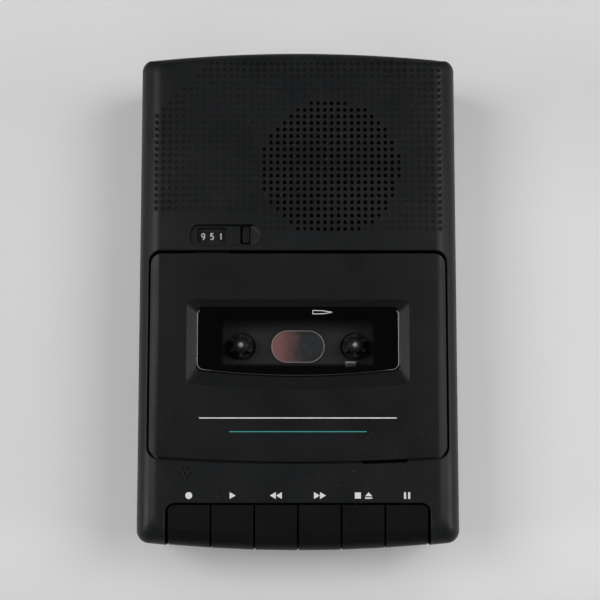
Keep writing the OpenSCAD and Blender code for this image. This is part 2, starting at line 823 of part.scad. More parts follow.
module bottom_case() {
    color(case_color) difference() {
        union() {
            difference() {
                case_block(0, split_z, base_z, base_edge_r, base_edge_r, base_edge_r);
                prism(case_outline(wall), floor_z, split_z + 1);
            }
            case_lip(0, split_z + lip_h);
            intersection() {
                prism(case_outline(wall / 2), base_z + base_edge_r, split_z);
                corners(boss_x, boss_front, boss_rear) cylinder(r = boss_r, h = split_z);
            }
            difference() {
                battery_walls();
                prism(case_outline(-1), -1, floor_z - eps);
            }
            for (x = [-1, 1], y = deck_screw_y) post(x * deck_screw_x, y, boss_r, floor_z - eps, deck_under);
            for (p = board_posts) post(p.x, p.y, boss_r, floor_z - eps, board_z);
            difference() {
                post(-motor_x, motor_y, motor_r + seat + cell_wall, floor_z - eps, floor_z + motor_cup_h);
                post(-motor_x, motor_y, motor_r + seat, floor_z, floor_z + motor_cup_h + 1);
            }
        }
        door_cut();
        corners(boss_x, boss_front, boss_rear) {
            post(0, 0, screw_r + screw_play, -1, split_z + lip_h + 1);
            post(0, 0, head_r + screw_play, -1, head_z);
        }
        for (x = [-1, 1], y = deck_screw_y)
            post(x * deck_screw_x, y, screw_r + seat, deck_under - screw_bite, deck_under + 1);
        for (y = socket_y) bar_x(half_w - wall - 1, half_w + 1, y, socket_z, collar_r + seat);
        box(half_w - wall - 1, half_w + 1, volume_y - volume_slot_hw, volume_y + volume_slot_hw, volume_z - clear,
            volume_z + volume_t + clear);
    }
}

module feet() {
    color([0.06, 0.06, 0.06]) corners(foot_x, y_front + foot_in, y_rear - foot_in)
        cylinder(r = foot_r, h = foot_h);
}

// Cross-head screw whose head rests at a level, with its shank up or down from there
module screw(level, length, up) {
    translate([0, 0, level]) mirror([0, 0, up > 0 ? 0 : 1]) difference() {
        union() {
            translate([0, 0, -head_h]) cylinder(r = head_r, h = head_h);
            cylinder(r = screw_r, h = length);
        }
        for (a = [0, 90]) rotate(a)
            box(-head_r + cross_w, head_r - cross_w, -cross_w / 2, cross_w / 2, -head_h - 1, cross_d - head_h);
    }
}

module case_screws() {
    color(steel_color) corners(boss_x, boss_front, boss_rear) screw(head_z, split_z + screw_bite - head_z, 1);
}

module speaker_basket() {
    low = rim_z - basket_d;
    r_in = speaker_r - rim_w;
    color(steel_color) translate([speaker_x, speaker_y, 0]) rotate_extrude() polygon([
        [magnet_r - basket_flange, low], [magnet_r, low], [r_in + basket_t, rim_z], [speaker_r, rim_z],
        [speaker_r, skin_z], [r_in, skin_z], [r_in, rim_z], [magnet_r - basket_t, low + basket_t],
        [magnet_r - basket_flange, low + basket_t]
    ]);
}

module speaker_cone() {
    low = rim_z - basket_d + 2 * basket_t;
    r_in = speaker_r - rim_w - seat;
    shoulder = cap_r * 0.6;
    color([0.08, 0.08, 0.08]) translate([speaker_x, speaker_y, 0]) rotate_extrude() polygon([
        [0, low + cap_h], [shoulder, low + cap_h - cone_t], [cap_r, low], [r_in - roll_w, rim_z], [r_in, rim_z],
        [r_in, rim_z + cone_t], [r_in - roll_w, rim_z + cone_t], [cap_r, low + cone_t],
        [shoulder, low + cap_h], [0, low + cap_h + cone_t]
    ]);
}

module speaker_magnet() {
    low = roof_z + cell_wall + magnet_gap;
    color([0.25, 0.25, 0.27]) post(speaker_x, speaker_y, magnet_r, low, rim_z - basket_d);
}

module mic_capsule() {
    color(steel_color) translate([-mic_x, mic_y, skin_z - mic_h]) difference() {
        cylinder(r = mic_r, h = mic_h);
        translate([0, 0, mic_h - mic_dish]) cylinder(r = mic_r - mic_ring_t, h = 1);
    }
}

module lid_arm() {
    y = hinge_y;
    z = hinge_z;
    r = knuckle_r;
    color(case_color) difference() {
        along_x(arm_x - arm_w / 2, arm_x + arm_w / 2) union() {
            translate([y, z]) circle(r = r);
            polygon([
                [y - 0.2, z - r], [y - r - neck_l, z - 2 * neck_t + 0.2],
                [y - neck_back - 0.9, z - 2 * neck_t + 0.6],
                [y - neck_back - neck_l, z - neck_t + 0.4], [y - neck_back - neck_l, skin_z + 0.4],
                [y - neck_back, skin_z + 0.4], [y - neck_back, z - neck_t + 0.6],
                [y - neck_back + neck_t, z - neck_t],
                [y - r, z]
            ]);
        }
        bar_x(arm_x - arm_w, arm_x + arm_w, y, z, pin_r + slip);
    }
}

module lid() {
    color(case_color) difference() {
        union() {
            intersection() {
                outer_block();
                prism(lid_outline(0, 0), split_z, body_h + 1);
                difference() {
                    prism(lid_outline(1, 1), split_z, body_h + 1);
                    inner_block(lid_t);
                }
            }
            prism(bowed(recess_w / 2 + pan_rim, recess_front - pan_rim, recess_rear + pan_rim, pan_r, pan_r,
                lens_bow, 0),
                pan_z, skin_z + 0.5);
            both_sides() lid_arm();
            box(latch_x - lug_w / 2, latch_x + lug_w / 2, latch_rear + clear, latch_rear + clear + lug_t,
                skin_z - lug_h, skin_z + 0.5);
        }
        skin([
            [for (p = lens_outline(0)) [p.x, p.y, lens_z]],
            [for (p = bowed(recess_w / 2, recess_front, recess_rear, lens_r, lens_r, lens_bow, 0))
                [p.x, p.y, body_h + eps]]
        ], 1);
        prism(lens_outline(0), lens_z - lens_t, lens_z + 0.1);
        prism(lens_outline(lens_ledge), pan_z - 1, lens_z);
        along_x(-half_w, half_w) polygon([
            [lid_rear, body_h], [lid_rear - undercut, skin_z], [lid_rear - undercut - 0.3, skin_z - 3],
            [lid_rear + 3, skin_z - 3], [lid_rear + 3, body_h]
        ]);
    }
}

module window_lens() {
    color([0.08, 0.08, 0.09, 0.6]) prism(lens_outline(seat), lens_z - lens_t, lens_z);
}

module lid_springs() {
    y = recess_rear + spring_step;
    line = [[0, 0], [spring_step, 0], [2 * spring_step, -0.8 * spring_step], [3 * spring_step, -spring_step / 3]];
    side = concat(
        [for (p = line) [y + p.x, skin_z + p.y]],
        [for (i = [3:-1:0]) [y + line[i].x, skin_z - spring_t + line[i].y]]
    );
    color(steel_color) for (x = [-spring_x, spring_x])
        along_x(x - spring_w / 2, x + spring_w / 2) polygon(side);
}

module lid_pins() {
    color(steel_color) both_sides() bar_x(arm_x - pin_hl, arm_x + pin_hl, hinge_y, hinge_z, pin_r);
}

module lid_latch() {
    nose_t = 1.4;
    nose_z = skin_z - lug_h + 1;
    color(steel_color) along_x(latch_x - latch_w / 2, latch_x + latch_w / 2) polygon([
        [latch_front, deck_z + 0.1], [latch_front + 0.6, deck_z + 0.1], [latch_front + 0.6, deck_under - 1],
        [latch_rear - 2, deck_under - 1], [latch_rear - 2, nose_z], [latch_rear, nose_z],
        [latch_rear, nose_z + nose_t], [latch_rear - nose_t, nose_z + 2 * nose_t], [latch_front, nose_z + 2 * nose_t]
    ]);
}

module cassette_well() {
    rear_h = hinge_z - 2 * neck_t - 1.5;
    color([0.05, 0.05, 0.05]) difference() {
        union() {
            box(-well_hw, well_hw, well_front, well_rear, well_under, well_z);
            both_sides()
                box(well_hw - well_side_t, well_hw, well_front, well_rear, well_under, cassette_top + 1);
            box(-well_hw, well_hw, well_rear - well_end_t, well_rear, well_under, rear_h);
            for (x = [-1, 1], y = deck_screw_y) post(x * deck_screw_x, y, boss_r, deck_z, well_under + eps);
            for (x = [-1, 1], y = [well_front + 1, well_rear - rest_l - 2])
                translate([x * rest_x, y, 0])
                    box(-rest_w / 2, rest_w / 2, 0, rest_l, well_z - eps, well_z + rest_h);
        }
        for (x = [-reel_x, reel_x]) post(x, reel_y, reel_hole_r, well_under - 1, well_z + 1);
        for (x = [-1, 1], y = deck_screw_y)
            post(x * deck_screw_x, y, screw_r + screw_play, deck_z - 1, well_z + 1);
    }
}

module view_mirror() {
    color([0.8, 0.8, 0.82]) translate([0, reel_y, well_z]) linear_extrude(mirror_t) slot_2d(mirror_l, mirror_w);
}

module detent_tab() {
    y = reel_y - reel_hole_r - 0.5;
    color(steel_color) translate([reel_x - 1.5, 0, 0]) along_x(-tab_w / 2, tab_w / 2) polygon([
        [y - tab_w, well_z], [y, well_z], [y, well_z + tab_h], [y - tab_t, well_z + tab_h],
        [y - tab_t, well_z + tab_t], [y - tab_w, well_z + tab_t]
    ]);
}

module deck_plate() {
    color(steel_color) difference() {
        union() {
            box(-ear_hw - ear_plate_t, ear_hw + ear_plate_t, deck_front, deck_rear, deck_under, deck_z);
            both_sides() box(ear_hw, ear_hw + ear_plate_t, rod_y - ear_plate_hl, rod_y + ear_plate_hl, deck_under,
                rod_z + ear_plate_hl);
            for (x = guide_x) post(x, guide_y, guide_r, deck_z - eps, head_plate_top + 1);
        }
        both_sides() bar_x(ear_hw - 1, ear_hw + ear_plate_t + 1, rod_y, rod_z, rod_r + seat / 2);
        for (x = [-reel_x, reel_x]) post(x, reel_y, reel_pin_r + seat / 2, deck_under - 1, deck_z + 1);
        post(capstan_x, capstan_y, bush_r + seat / 2, deck_under - 1, deck_z + 1);
        for (x = [-1, 1], y = deck_screw_y)
            post(x * deck_screw_x, y, screw_r + screw_play, deck_under - 1, deck_z + 1);
        box(latch_x - latch_w / 2 - 0.1, latch_x + latch_w / 2 + 0.1, latch_front - latch_travel - 0.2,
            latch_rear - 1.6, deck_under - 1, deck_z + 1);
    }
}

module deck_screws() {
    color(steel_color) for (x = [-1, 1], y = deck_screw_y)
        translate([x * deck_screw_x, y, 0]) screw(well_z, well_z - deck_under + screw_bite - 2, -1);
}

module reel_pins() {
    top = spindle_top - 0.4;
    r = reel_pin_r;
    color(steel_color) for (x = [-reel_x, reel_x]) translate([x, reel_y, 0]) {
        post(0, 0, r, deck_under, top);
        translate([0, 0, top]) intersection() {
            sphere(r = r);
            box(-2 * r, 2 * r, -2 * r, 2 * r, 0, 2 * r);
        }
    }
}

// Turned drum on a disc, with a collar on which the drive vanes stand
module spindle(x) {
    disc_z = deck_z + disc_lift;
    collar_z = well_z + collar_lift;
    top = spindle_top;
    color([0.16, 0.16, 0.16]) translate([x, reel_y, 0]) {
        rotate_extrude() polygon([
            [reel_pin_r + slip, disc_z], [reel_disc_r, disc_z], [reel_disc_r, disc_z + disc_t],
            [vane_r + 0.2, disc_z + disc_t], [vane_r + 0.2, collar_z], [spindle_r, collar_z],
            [spindle_r, top - tip_h], [spindle_r - tip_h, top], [reel_pin_r + slip, top]
        ]);
        for (a = [30:60:330]) rotate(a)
            box(spindle_r - 0.5, vane_r, -vane_t / 2, vane_t / 2, collar_z - 0.5, top - 2 * tip_h);
    }
}

module supply_spindle() {
    spindle(-reel_x);
}

module takeup_spindle() {
    spindle(reel_x);
}

module key_rod() {
    color(steel_color) bar_x(-ear_hw - ear_plate_t, ear_hw + ear_plate_t, rod_y, rod_z, rod_r);
}

module key_spring_comb() {
    reach = comb_front - comb_reach;
    rise = rod_z - hub_r + 1.2;
    color(steel_color) {
        box(key_x[0] - finger_w, key_x[5] + finger_w, comb_front, comb_front + comb_seat, deck_z, deck_z + comb_t);
        for (x = key_x) along_x(x - finger_w / 2, x + finger_w / 2) polygon([
            [comb_front + eps, deck_z], [comb_front + eps, deck_z + comb_t], [reach, rise], [reach, rise - comb_t]
        ]);
    }
}

// Side view of a key cap whose front stands at y, as [y, z] points
function cap_profile(y, t, low) =
    concat(
        [[y + t, low], [y + t, key_top - key_front_r]],
        [for (k = [1:edge_steps]) let (a = 180 - 90 * k / edge_steps, r = key_front_r - t)
            [y + key_front_r + r * cos(a), key_top - key_front_r + r * sin(a)]],
        [[key_back + wall - t, key_top - t], [key_back + wall - t, key_top - key_back_h - t],
            [y + t + key_wall, low]]
    );

function front_at(x) = y_front + 0.2 + front_bow * pow(x / half_w, 2);

// Key cap that follows the bowed front of the case from one side to the other
module cap(x0, x1, t, low) {
    left = [for (p = cap_profile(front_at(x0), t, low)) [x0 + t, p.x, p.y]];
    right = [for (p = cap_profile(front_at(x1), t, low)) [x1 - t, p.x, p.y]];
    skin([right, left], 1);
}

module key(i) {
    x = key_x[i];
    hw = (key_pitch - key_gap) / 2;
    y = front_at(x) + key_front_r + 1;
    color([0.085, 0.085, 0.09]) difference() {
        union() {
            intersection() {
                difference() {
                    cap(x - hw, x + hw, 0, key_low);
                    cap(x - hw, x + hw, key_wall, key_low - 1);
                }
                prism(bay_outline(key_gap), key_low - 2, body_h);
            }
            along_x(x - rib_w / 2, x + rib_w / 2) polygon([
                [y, key_top - 1], [y, key_top - 7], [key_back - 2, rod_z - hub_r + 2], [rod_y, rod_z - hub_r],
                [rod_y, rod_z + hub_r], [key_back - 0.6, key_top - 4], [key_back - 0.6, key_top - 1]
            ]);
            bar_x(x - hub_l / 2, x + hub_l / 2, rod_y, rod_z, hub_r);
        }
        bar_x(x - hub_l, x + hub_l, rod_y, rod_z, rod_r + slip);
    }
}

module head_plate() {
    color(steel_color) difference() {
        box(guide_x[0] - 4, latch_x - latch_w - 1, head_plate_front, head_plate_rear, head_plate_z, head_plate_top);
        for (x = guide_x) translate([x, guide_y - head_travel / 2, head_plate_z - 1]) linear_extrude(4)
            rotate(90) slot_2d(head_travel + 2 * guide_r + 0.6, 2 * guide_r + 0.2);
    }
}

// Head with a rounded face on a block that stands on the head plate
module head(x, w, d) {
    low = head_low;
    y = head_face - d;
    face_r = w * 0.7;
    translate([x, 0, 0]) {
        box(-w / 2, w / 2, y, head_face - 2, low, low + head_h_tape);
        intersection() {
            box(-w / 2, w / 2, head_face - 2 - eps, head_face, low, low + head_h_tape);
            post(0, head_face - face_r, face_r, low, low + head_h_tape);
        }
        box(-w / 2 + 1, w / 2 - 1, y + 1, head_face - 2.5, head_plate_top, low + eps);
    }
}

module tape_head() {
    color([0.75, 0.72, 0.66]) head(0, head_w, head_d);
}

module erase_head() {
    color([0.12, 0.12, 0.12]) head(-erase_x, erase_w, head_d - 1);
}

module pinch_arm() {
    low = roller_low - clear - pinch_t;
    color(steel_color) translate([capstan_x, roller_y, 0]) {
        box(-pinch_hw, pinch_hw, -pinch_back, pinch_t - pinch_back, head_plate_top, low + pinch_t);
        box(-pinch_hw, pinch_hw, -pinch_back, 2 * roller_pin_r, low, low + pinch_t);
        post(0, 0, roller_pin_r, low, roller_low + roller_h + pinch_t);
    }
}

module pinch_roller() {
    color([0.05, 0.05, 0.05]) difference() {
        post(capstan_x, roller_y, roller_r, roller_low, roller_low + roller_h);
        post(capstan_x, roller_y, roller_pin_r + slip, roller_low - 1, roller_low + roller_h + 1);
    }
}

module flywheel() {
    color([0.6, 0.58, 0.5]) difference() {
        post(capstan_x, capstan_y, flywheel_r, flywheel_low, flywheel_top);
        post(capstan_x, capstan_y, flywheel_r - flywheel_rim, flywheel_low - 1, flywheel_top - flywheel_web);
        post(capstan_x, capstan_y, capstan_r + seat / 2, flywheel_low - 1, flywheel_top + 1);
    }
}

module capstan() {
    color(steel_color) post(capstan_x, capstan_y, capstan_r, bracket_z - bracket_t, tape_z + 4.2);
}

module capstan_bush() {
    color([0.7, 0.55, 0.25]) difference() {
        post(capstan_x, capstan_y, bush_r, deck_under - flywheel_gap + 0.4, deck_z + bush_h);
        post(capstan_x, capstan_y, capstan_r + slip, deck_under - flywheel_gap - 1, deck_z + bush_h + 1);
    }
}

module flywheel_bracket() {
    hy = flywheel_r + 2;
    color(steel_color) difference() {
        box(capstan_x - bracket_w / 2, capstan_x + bracket_w / 2, capstan_y - hy - bracket_t,
            capstan_y + hy + bracket_t, bracket_z - bracket_t, deck_under);
        box(capstan_x - bracket_w, capstan_x + bracket_w, capstan_y - hy, capstan_y + hy, bracket_z, deck_under + 1);
        post(capstan_x, capstan_y, capstan_r + slip, bracket_z - 3, bracket_z + 1);
    }
}

module motor() {
    color([0.55, 0.56, 0.58]) {
        post(-motor_x, motor_y, motor_r, floor_z, motor_top);
        post(-motor_x, motor_y, shaft_r, motor_top - eps, belt_z + belt_w + 1.5 * pulley_flange);
    }
}

module motor_pulley() {
    low = belt_z - pulley_flange;
    top = belt_z + belt_w + pulley_flange;
    color([0.7, 0.55, 0.25]) difference() {
        union() {
            post(-motor_x, motor_y, pulley_r, low, top);
            post(-motor_x, motor_y, pulley_r + pulley_flange, low, belt_z - 0.2);
        }
        post(-motor_x, motor_y, shaft_r + slip, low - 1, top + 1);
    }
}

// Loop that wraps two circles, as the points of its outline
function belt_loop(ax, ay, ar, bx, by, br) =
    let (
        dir = atan2(by - ay, bx - ax),
        span = norm([bx - ax, by - ay]),
        lean = acos((ar - br) / span)
    )
    concat(arc(ax, ay, ar, dir + lean, dir + 360 - lean, 36), arc(bx, by, br, dir - lean, dir + lean, 36));

module drive_belt() {
    color([0.05, 0.05, 0.05]) difference() {
        prism(belt_loop(-motor_x, motor_y, pulley_r + slip + belt_t, capstan_x, capstan_y,
            flywheel_r + slip + belt_t), belt_z, belt_z + belt_w);
        prism(belt_loop(-motor_x, motor_y, pulley_r + slip, capstan_x, capstan_y, flywheel_r + slip),
            belt_z - 1, belt_z + belt_w + 1);
    }
}

module counter_frame() {
    x0 = -wheel_x - frame_hx;
    x1 = -wheel_x + frame_hx;
    color([0.1, 0.1, 0.1]) difference() {
        box(x0 - frame_t, x1 + frame_t, pill_y - frame_y - frame_t, pill_y + frame_y + frame_t, frame_base, pad_z);
        box(x0, x1, pill_y - frame_y, pill_y + frame_y, frame_base + frame_t, pad_z + 1);
        bar_x(x0 - 3, x1 + 3, pill_y, axle_z, axle_r + seat / 2);
    }
}

module counter_axle() {
    hx = frame_hx + frame_t;
    color(steel_color) bar_x(-wheel_x - hx, -wheel_x + hx, pill_y, axle_z, axle_r);
}

module counter_window() {
    color([0.5, 0.5, 0.5, 0.3]) box(-wheel_x - window_hx, -wheel_x + window_hx, pill_y - window_hy,
        pill_y + window_hy, pill_floor - pane_t, pill_floor);
}

module number_wheel(i) {
    x = -wheel_x + i * wheel_pitch;
    color([0.05, 0.05, 0.05]) difference() {
        bar_x(x - wheel_w / 2, x + wheel_w / 2, pill_y, axle_z, wheel_r);
        bar_x(x - wheel_w, x + wheel_w, pill_y, axle_z, axle_r + slip);
    }
}

module hundreds_wheel() {
    number_wheel(-1);
}

module tens_wheel() {
    number_wheel(0);
}

module units_wheel() {
    number_wheel(1);
}

module reset_button() {
    color([0.03, 0.03, 0.03]) {
        box(-button_x - button_w / 2, -button_x + button_w / 2, pill_y - window_hy, pill_y + window_hy,
            button_base, body_h - clear);
        box(-button_x - button_w / 2 - button_flange, -button_x + button_w / 2 + button_flange, pill_y - window_hy,
            pill_y + window_hy, button_base, pad_z - clear);
    }
}

module circuit_board() {
    color([0.45, 0.3, 0.12]) difference() {
        prism([
            [board_left, board_front], [board_hx, board_front], [board_hx, board_rear],
            [battery_hw + cell_wall + 2, board_rear], [battery_hw + cell_wall + 2, board_step],
            [board_left, board_step]
        ], board_z, board_top);
        for (y = deck_screw_y) post(deck_screw_x, y, boss_r + clear, board_z - 1, board_top + 1);
    }
}

module board_parts() {
    can_r = 2.5;
    chip = [12, board_step - 34];
    chip_l = 8 * chip_pitch + 0.6;
    chip_w = 7;
    leg_w = 0.6;
    color([0.1, 0.12, 0.25]) {
        for (i = [0:3]) post(2, board_step - 44 + i * can_pitch, can_r, board_top, board_top + can_h);
        translate([chip.x, chip.y, board_top]) {
            box(0, chip_l, 0, chip_w, leg_w, 4);
            for (i = [0:7], y = [leg_w / 2, chip_w - leg_w]) translate([(i + 0.5) * chip_pitch, y, 0])
                box(0, leg_w, 0, leg_w / 2, 0, leg_w + 0.4);
            for (i = [0:4]) translate([4 * i, 16, 0]) box(0, 1.8, 0, 6, 0, 2);
        }
    }
}

// Socket that stands on the circuit board with its collar in the side wall
module jack(i, r) {
    y = socket_y[i];
    color([0.06, 0.06, 0.06]) difference() {
        union() {
            box(collar_face - socket_l - 2, half_w - wall - 0.2, y - jack_hw, y + jack_hw, board_top,
                socket_z + jack_h);
            bar_x(half_w - wall - 0.3, collar_face, y, socket_z, collar_r);
        }
        bar_x(collar_face - socket_l, half_w + 1, y, socket_z, r);
    }
}

module mic_jack() {
    jack(0, socket_r);
}

module earphone_jack() {
    jack(1, socket_r);
}

module power_jack() {
    jack(2, power_r);
    color(steel_color) bar_x(collar_face - socket_l - eps, collar_face - 2, socket_y[2], socket_z, power_pin_r);
}

module volume_control() {
    color([0.3, 0.3, 0.3]) {
        post(volume_x, volume_y, volume_slot_hw, board_top, volume_z - clear);
        post(volume_x, volume_y, volume_post_r, volume_z - clear - eps, volume_z + volume_t);
    }
}

module volume_wheel() {
    color([0.06, 0.06, 0.06]) translate([volume_x, volume_y, volume_z]) difference() {
        linear_extrude(volume_t) polygon([for (i = [0:2 * volume_teeth - 1])
            let (r = volume_r - (i % 2) * tooth_d, a = i * 180 / volume_teeth) [r * cos(a), r * sin(a)]]);
        translate([0, 0, -1]) cylinder(r = volume_post_r + slip, h = volume_t + 2);
    }
}

module battery_door() {
    hw = battery_hw - clear;
    y0 = battery_front + clear;
    color(case_color) intersection() {
        prism(case_outline(0.1), base_z - 1, floor_z);
        union() {
            difference() {
                box(-hw, hw, y0, y_rear, base_z, base_z + door_t);
                for (i = [0:4]) translate([0, y0 + (i + 2) * grip_pitch, 0])
                    box(-grip_hw, grip_hw, 0, grip_w, base_z - 1, base_z + grip_d);
            }
            box(-hw - tongue_w, hw + tongue_w, y0, battery_rear, base_z + door_t - tongue_t, base_z + door_t);
        }
    }
}

// Coil of a battery contact along Y that narrows from its seat to its tip
function coil_ring(t, n) =
    let (
        r = coil_r + (coil_tip_r - coil_r) * t, a = 360 * coil_turns * t,
        y = wire_r + (contact_l - 2 * wire_r) * t
    )
    [for (k = [0:n - 1]) let (b = 360 * k / n)
        [(r + wire_r * cos(b)) * cos(a), y + wire_r * sin(b), (r + wire_r * cos(b)) * sin(a)]];

module coil() {
    sides = 6;
    steps = 48;
    skin([for (i = [0:steps]) coil_ring(i / steps, sides)], -1);
}

module battery_springs() {
    color(steel_color) for (i = [0:cell_count - 1])
        translate([cell_x[i], i % 2 == 0 ? battery_front + plate_t : battery_rear - plate_t, cell_z])
            mirror([0, i % 2, 0]) coil();
}

module battery_plates() {
    color(steel_color) for (i = [0:cell_count - 1], s = [0, 1])
        translate([cell_x[i], s == 0 ? battery_front : battery_rear - plate_t, cell_z])
            box(-plate_w / 2, plate_w / 2, 0, plate_t, -plate_w / 2, plate_w / 2);
}

top_case();
bottom_case();
feet();
case_screws();
speaker_basket();
speaker_cone();
speaker_magnet();
mic_capsule();
lid();
window_lens();
lid_springs();
lid_pins();
lid_latch();
cassette_well();
view_mirror();
detent_tab();
deck_plate();
deck_screws();
reel_pins();
supply_spindle();
takeup_spindle();
key_rod();
key_spring_comb();
key(0);  // key_record
key(1);  // key_play
key(2);  // key_rewind
key(3);  // key_forward
key(4);  // key_stop
key(5);  // key_pause
head_plate();
tape_head();
erase_head();
pinch_arm();
pinch_roller();
flywheel();
capstan();
capstan_bush();
flywheel_bracket();
motor();
motor_pulley();
drive_belt();
counter_frame();
counter_axle();
counter_window();
hundreds_wheel();
tens_wheel();
units_wheel();
reset_button();
circuit_board();
board_parts();
mic_jack();
earphone_jack();
power_jack();
volume_control();
volume_wheel();
battery_door();
battery_springs();
battery_plates();
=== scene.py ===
"""Looks of a portable cassette recorder: a case with a perforated speaker field, a lid with a smoked
window, six piano keys and a tape counter. Lengths are in millimetres, and on the stage in metres."""
import json
import math

import bpy
import numpy as np
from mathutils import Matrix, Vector
from mathutils.geometry import delaunay_2d_cdt


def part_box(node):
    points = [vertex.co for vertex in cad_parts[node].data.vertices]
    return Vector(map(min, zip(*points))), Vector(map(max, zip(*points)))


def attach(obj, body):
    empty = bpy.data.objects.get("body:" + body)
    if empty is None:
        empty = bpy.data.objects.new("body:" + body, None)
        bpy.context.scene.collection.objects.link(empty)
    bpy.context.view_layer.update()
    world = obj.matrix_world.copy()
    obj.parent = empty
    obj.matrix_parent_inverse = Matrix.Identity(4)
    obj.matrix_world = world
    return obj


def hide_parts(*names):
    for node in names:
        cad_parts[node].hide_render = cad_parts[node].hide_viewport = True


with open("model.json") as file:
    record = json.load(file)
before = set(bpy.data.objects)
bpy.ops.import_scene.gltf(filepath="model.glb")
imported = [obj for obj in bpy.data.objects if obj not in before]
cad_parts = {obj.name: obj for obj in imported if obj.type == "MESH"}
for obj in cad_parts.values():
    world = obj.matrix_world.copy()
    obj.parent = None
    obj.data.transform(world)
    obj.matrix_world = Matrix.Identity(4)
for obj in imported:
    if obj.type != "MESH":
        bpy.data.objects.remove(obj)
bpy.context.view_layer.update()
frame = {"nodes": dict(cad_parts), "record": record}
nodes = frame["nodes"]
MM = 0.001
QUARTER = np.pi / 2


def node_box(name):
    """Lowest and highest corner of a CAD node, in millimetres, cleared of the mesh's own rounding."""
    return np.round(np.array(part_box(name)) / MM, 5)


def middle(name):
    """Middle of a CAD node's box, in millimetres."""
    return node_box(name).mean(0)


# Case: its box, its wall, the radii of its upper edges and of its corners in plan, and the bow of its ends
(_, FRONT_Y, SPLIT_Z), (HALF_W, REAR_Y, TOP_Z) = node_box("top_case")
WALL, SIDE_R, FRONT_R, REAR_R = 2.2, 8.0, 6.0, 2.6
FRONT_CORNER, REAR_CORNER, BOW = 4.8, 3.6, 3.3
LEAST_EDGE_R, LEAST_CORNER_R = 0.4, 1
SKIN_Z = TOP_Z - WALL
# Rounding of the edges of openings, spacing of the points along them, and lines close beside them
EDGE_EASE, FINE_EASE, EDGE_STEP = 0.4, 0.3, 0.8
NEAR_GAP, NEAR_PILL_GAP, CLEAR_GAP = 0.25, 0.2, 0.6
# Groove at the parting line
GROOVE_D, GROOVE_H = 0.25, 0.3
# Opening round the lid, the shelf under the lid's edge, and the latch slot
(_, LID_FRONT, _), (LID_HALF_W, _, _) = node_box("lid")
LID_REAR, LID_CORNER, LID_BOW, LID_GAP, HINGE_GAP = 16.1, 4.0, 2.0, 0.7, 1.2
SHELF_REAR, SHELF_HALF_W, SHELF_NOSE, SHELF_T = 4.0, 1.3, 0.2, 0.8
SLOT_X, SLOT_W, SLOT_D, SLOT_SPARE = middle("lid_latch")[0], 16.0, 0.5, 0.6
SHELF_DROP, SLOT_DROP = 0.45, 1.8
# Key bay with its sill, and the cheeks at its two sides
BAY_HALF_W, BAY_REAR, BAY_R, SILL_Z = 48.1, -75.1, 3.6, 25.0
CHEEK_W, CHEEK_SINK, BAY_AHEAD, MOUTH_RETURN = 2.5, 0.5, 6, 2
BAY_SIDE = BAY_HALF_W + EDGE_EASE
MOUTH_Y = FRONT_Y + BOW * (BAY_SIDE / HALF_W) ** 2
# Counter recess with its cut-outs for the pane and the reset button, and the slope beside the button
WINDOW_LOW, WINDOW_HIGH = node_box("counter_window")[:, :2]
PILL_FLOOR, PAD_Z = node_box("counter_window")[1, 2], node_box("counter_frame")[1, 2]
PILL_X, PILL_Y, PILL_L, PILL_W = -27.2, middle("counter_window")[1], 26.0, 7.8
BED_REAR = WINDOW_HIGH[1] + 0.5
WINDOW_GAP, BUTTON_GAP = 0.05, 0.4
BUTTON_X = middle("reset_button")[0]
BUTTON_LEFT, BUTTON_RIGHT = BUTTON_X - 2.1, BUTTON_X + 1.6
RAMP_X, RAMP_L, RAMP_H = BUTTON_X + 1.7, 3.2, 0.5
# Speaker field: its holes stand in square cells, and those within the open radius go through the case
PITCH, FIELD_Y, HOLE_R, HOLE_SIDES = 2.5, 25.35, 0.7, 12
SPEAKER_X, SPEAKER_Y, OPEN_R = 12.1, 48.1, 25.86
HALF_COLUMNS, FIELD_ROWS = 21, 26
CORNER_CUT, COUNTER_ROWS, COUNTER_X = 38, 3, -13
OPEN_EASE, DIMPLE_EASE, DIMPLE_D, DIMPLE_MORE, DIMPLE_TAPER = 0.12, 0.05, 0.24, 0.3, 0.08
# Where dimples start to deepen, the run over which they do, and their share of it at the right
DEEP_X, DEEP_X_RUN, DEEP_Y, DEEP_Y_RUN, DEEP_RIGHT = 40, 10, 80, 6, 0.4
# Microphone port: six holes in a ring round a seventh
MIC_X, MIC_Y, PORT_R, PORT_RING, PORT_EASE = -40.7, -64.5, 0.5, 1.9, 0.1
# Number wheels of the counter
AXLE_Y, AXLE_Z = middle("units_wheel")[1:]
WHEEL_R = node_box("units_wheel")[1, 2] - AXLE_Z
WHEELS = {"hundreds_wheel": 9, "tens_wheel": 5, "units_wheel": 1}


# Outlines and surfaces
ARC_N, BOW_N = 10, 32


def arc(x, y, r, turn):
    """Points at distance r from a middle, in the directions of the turns."""
    return np.stack([x + r * np.cos(turn), y + r * np.sin(turn)], 1)


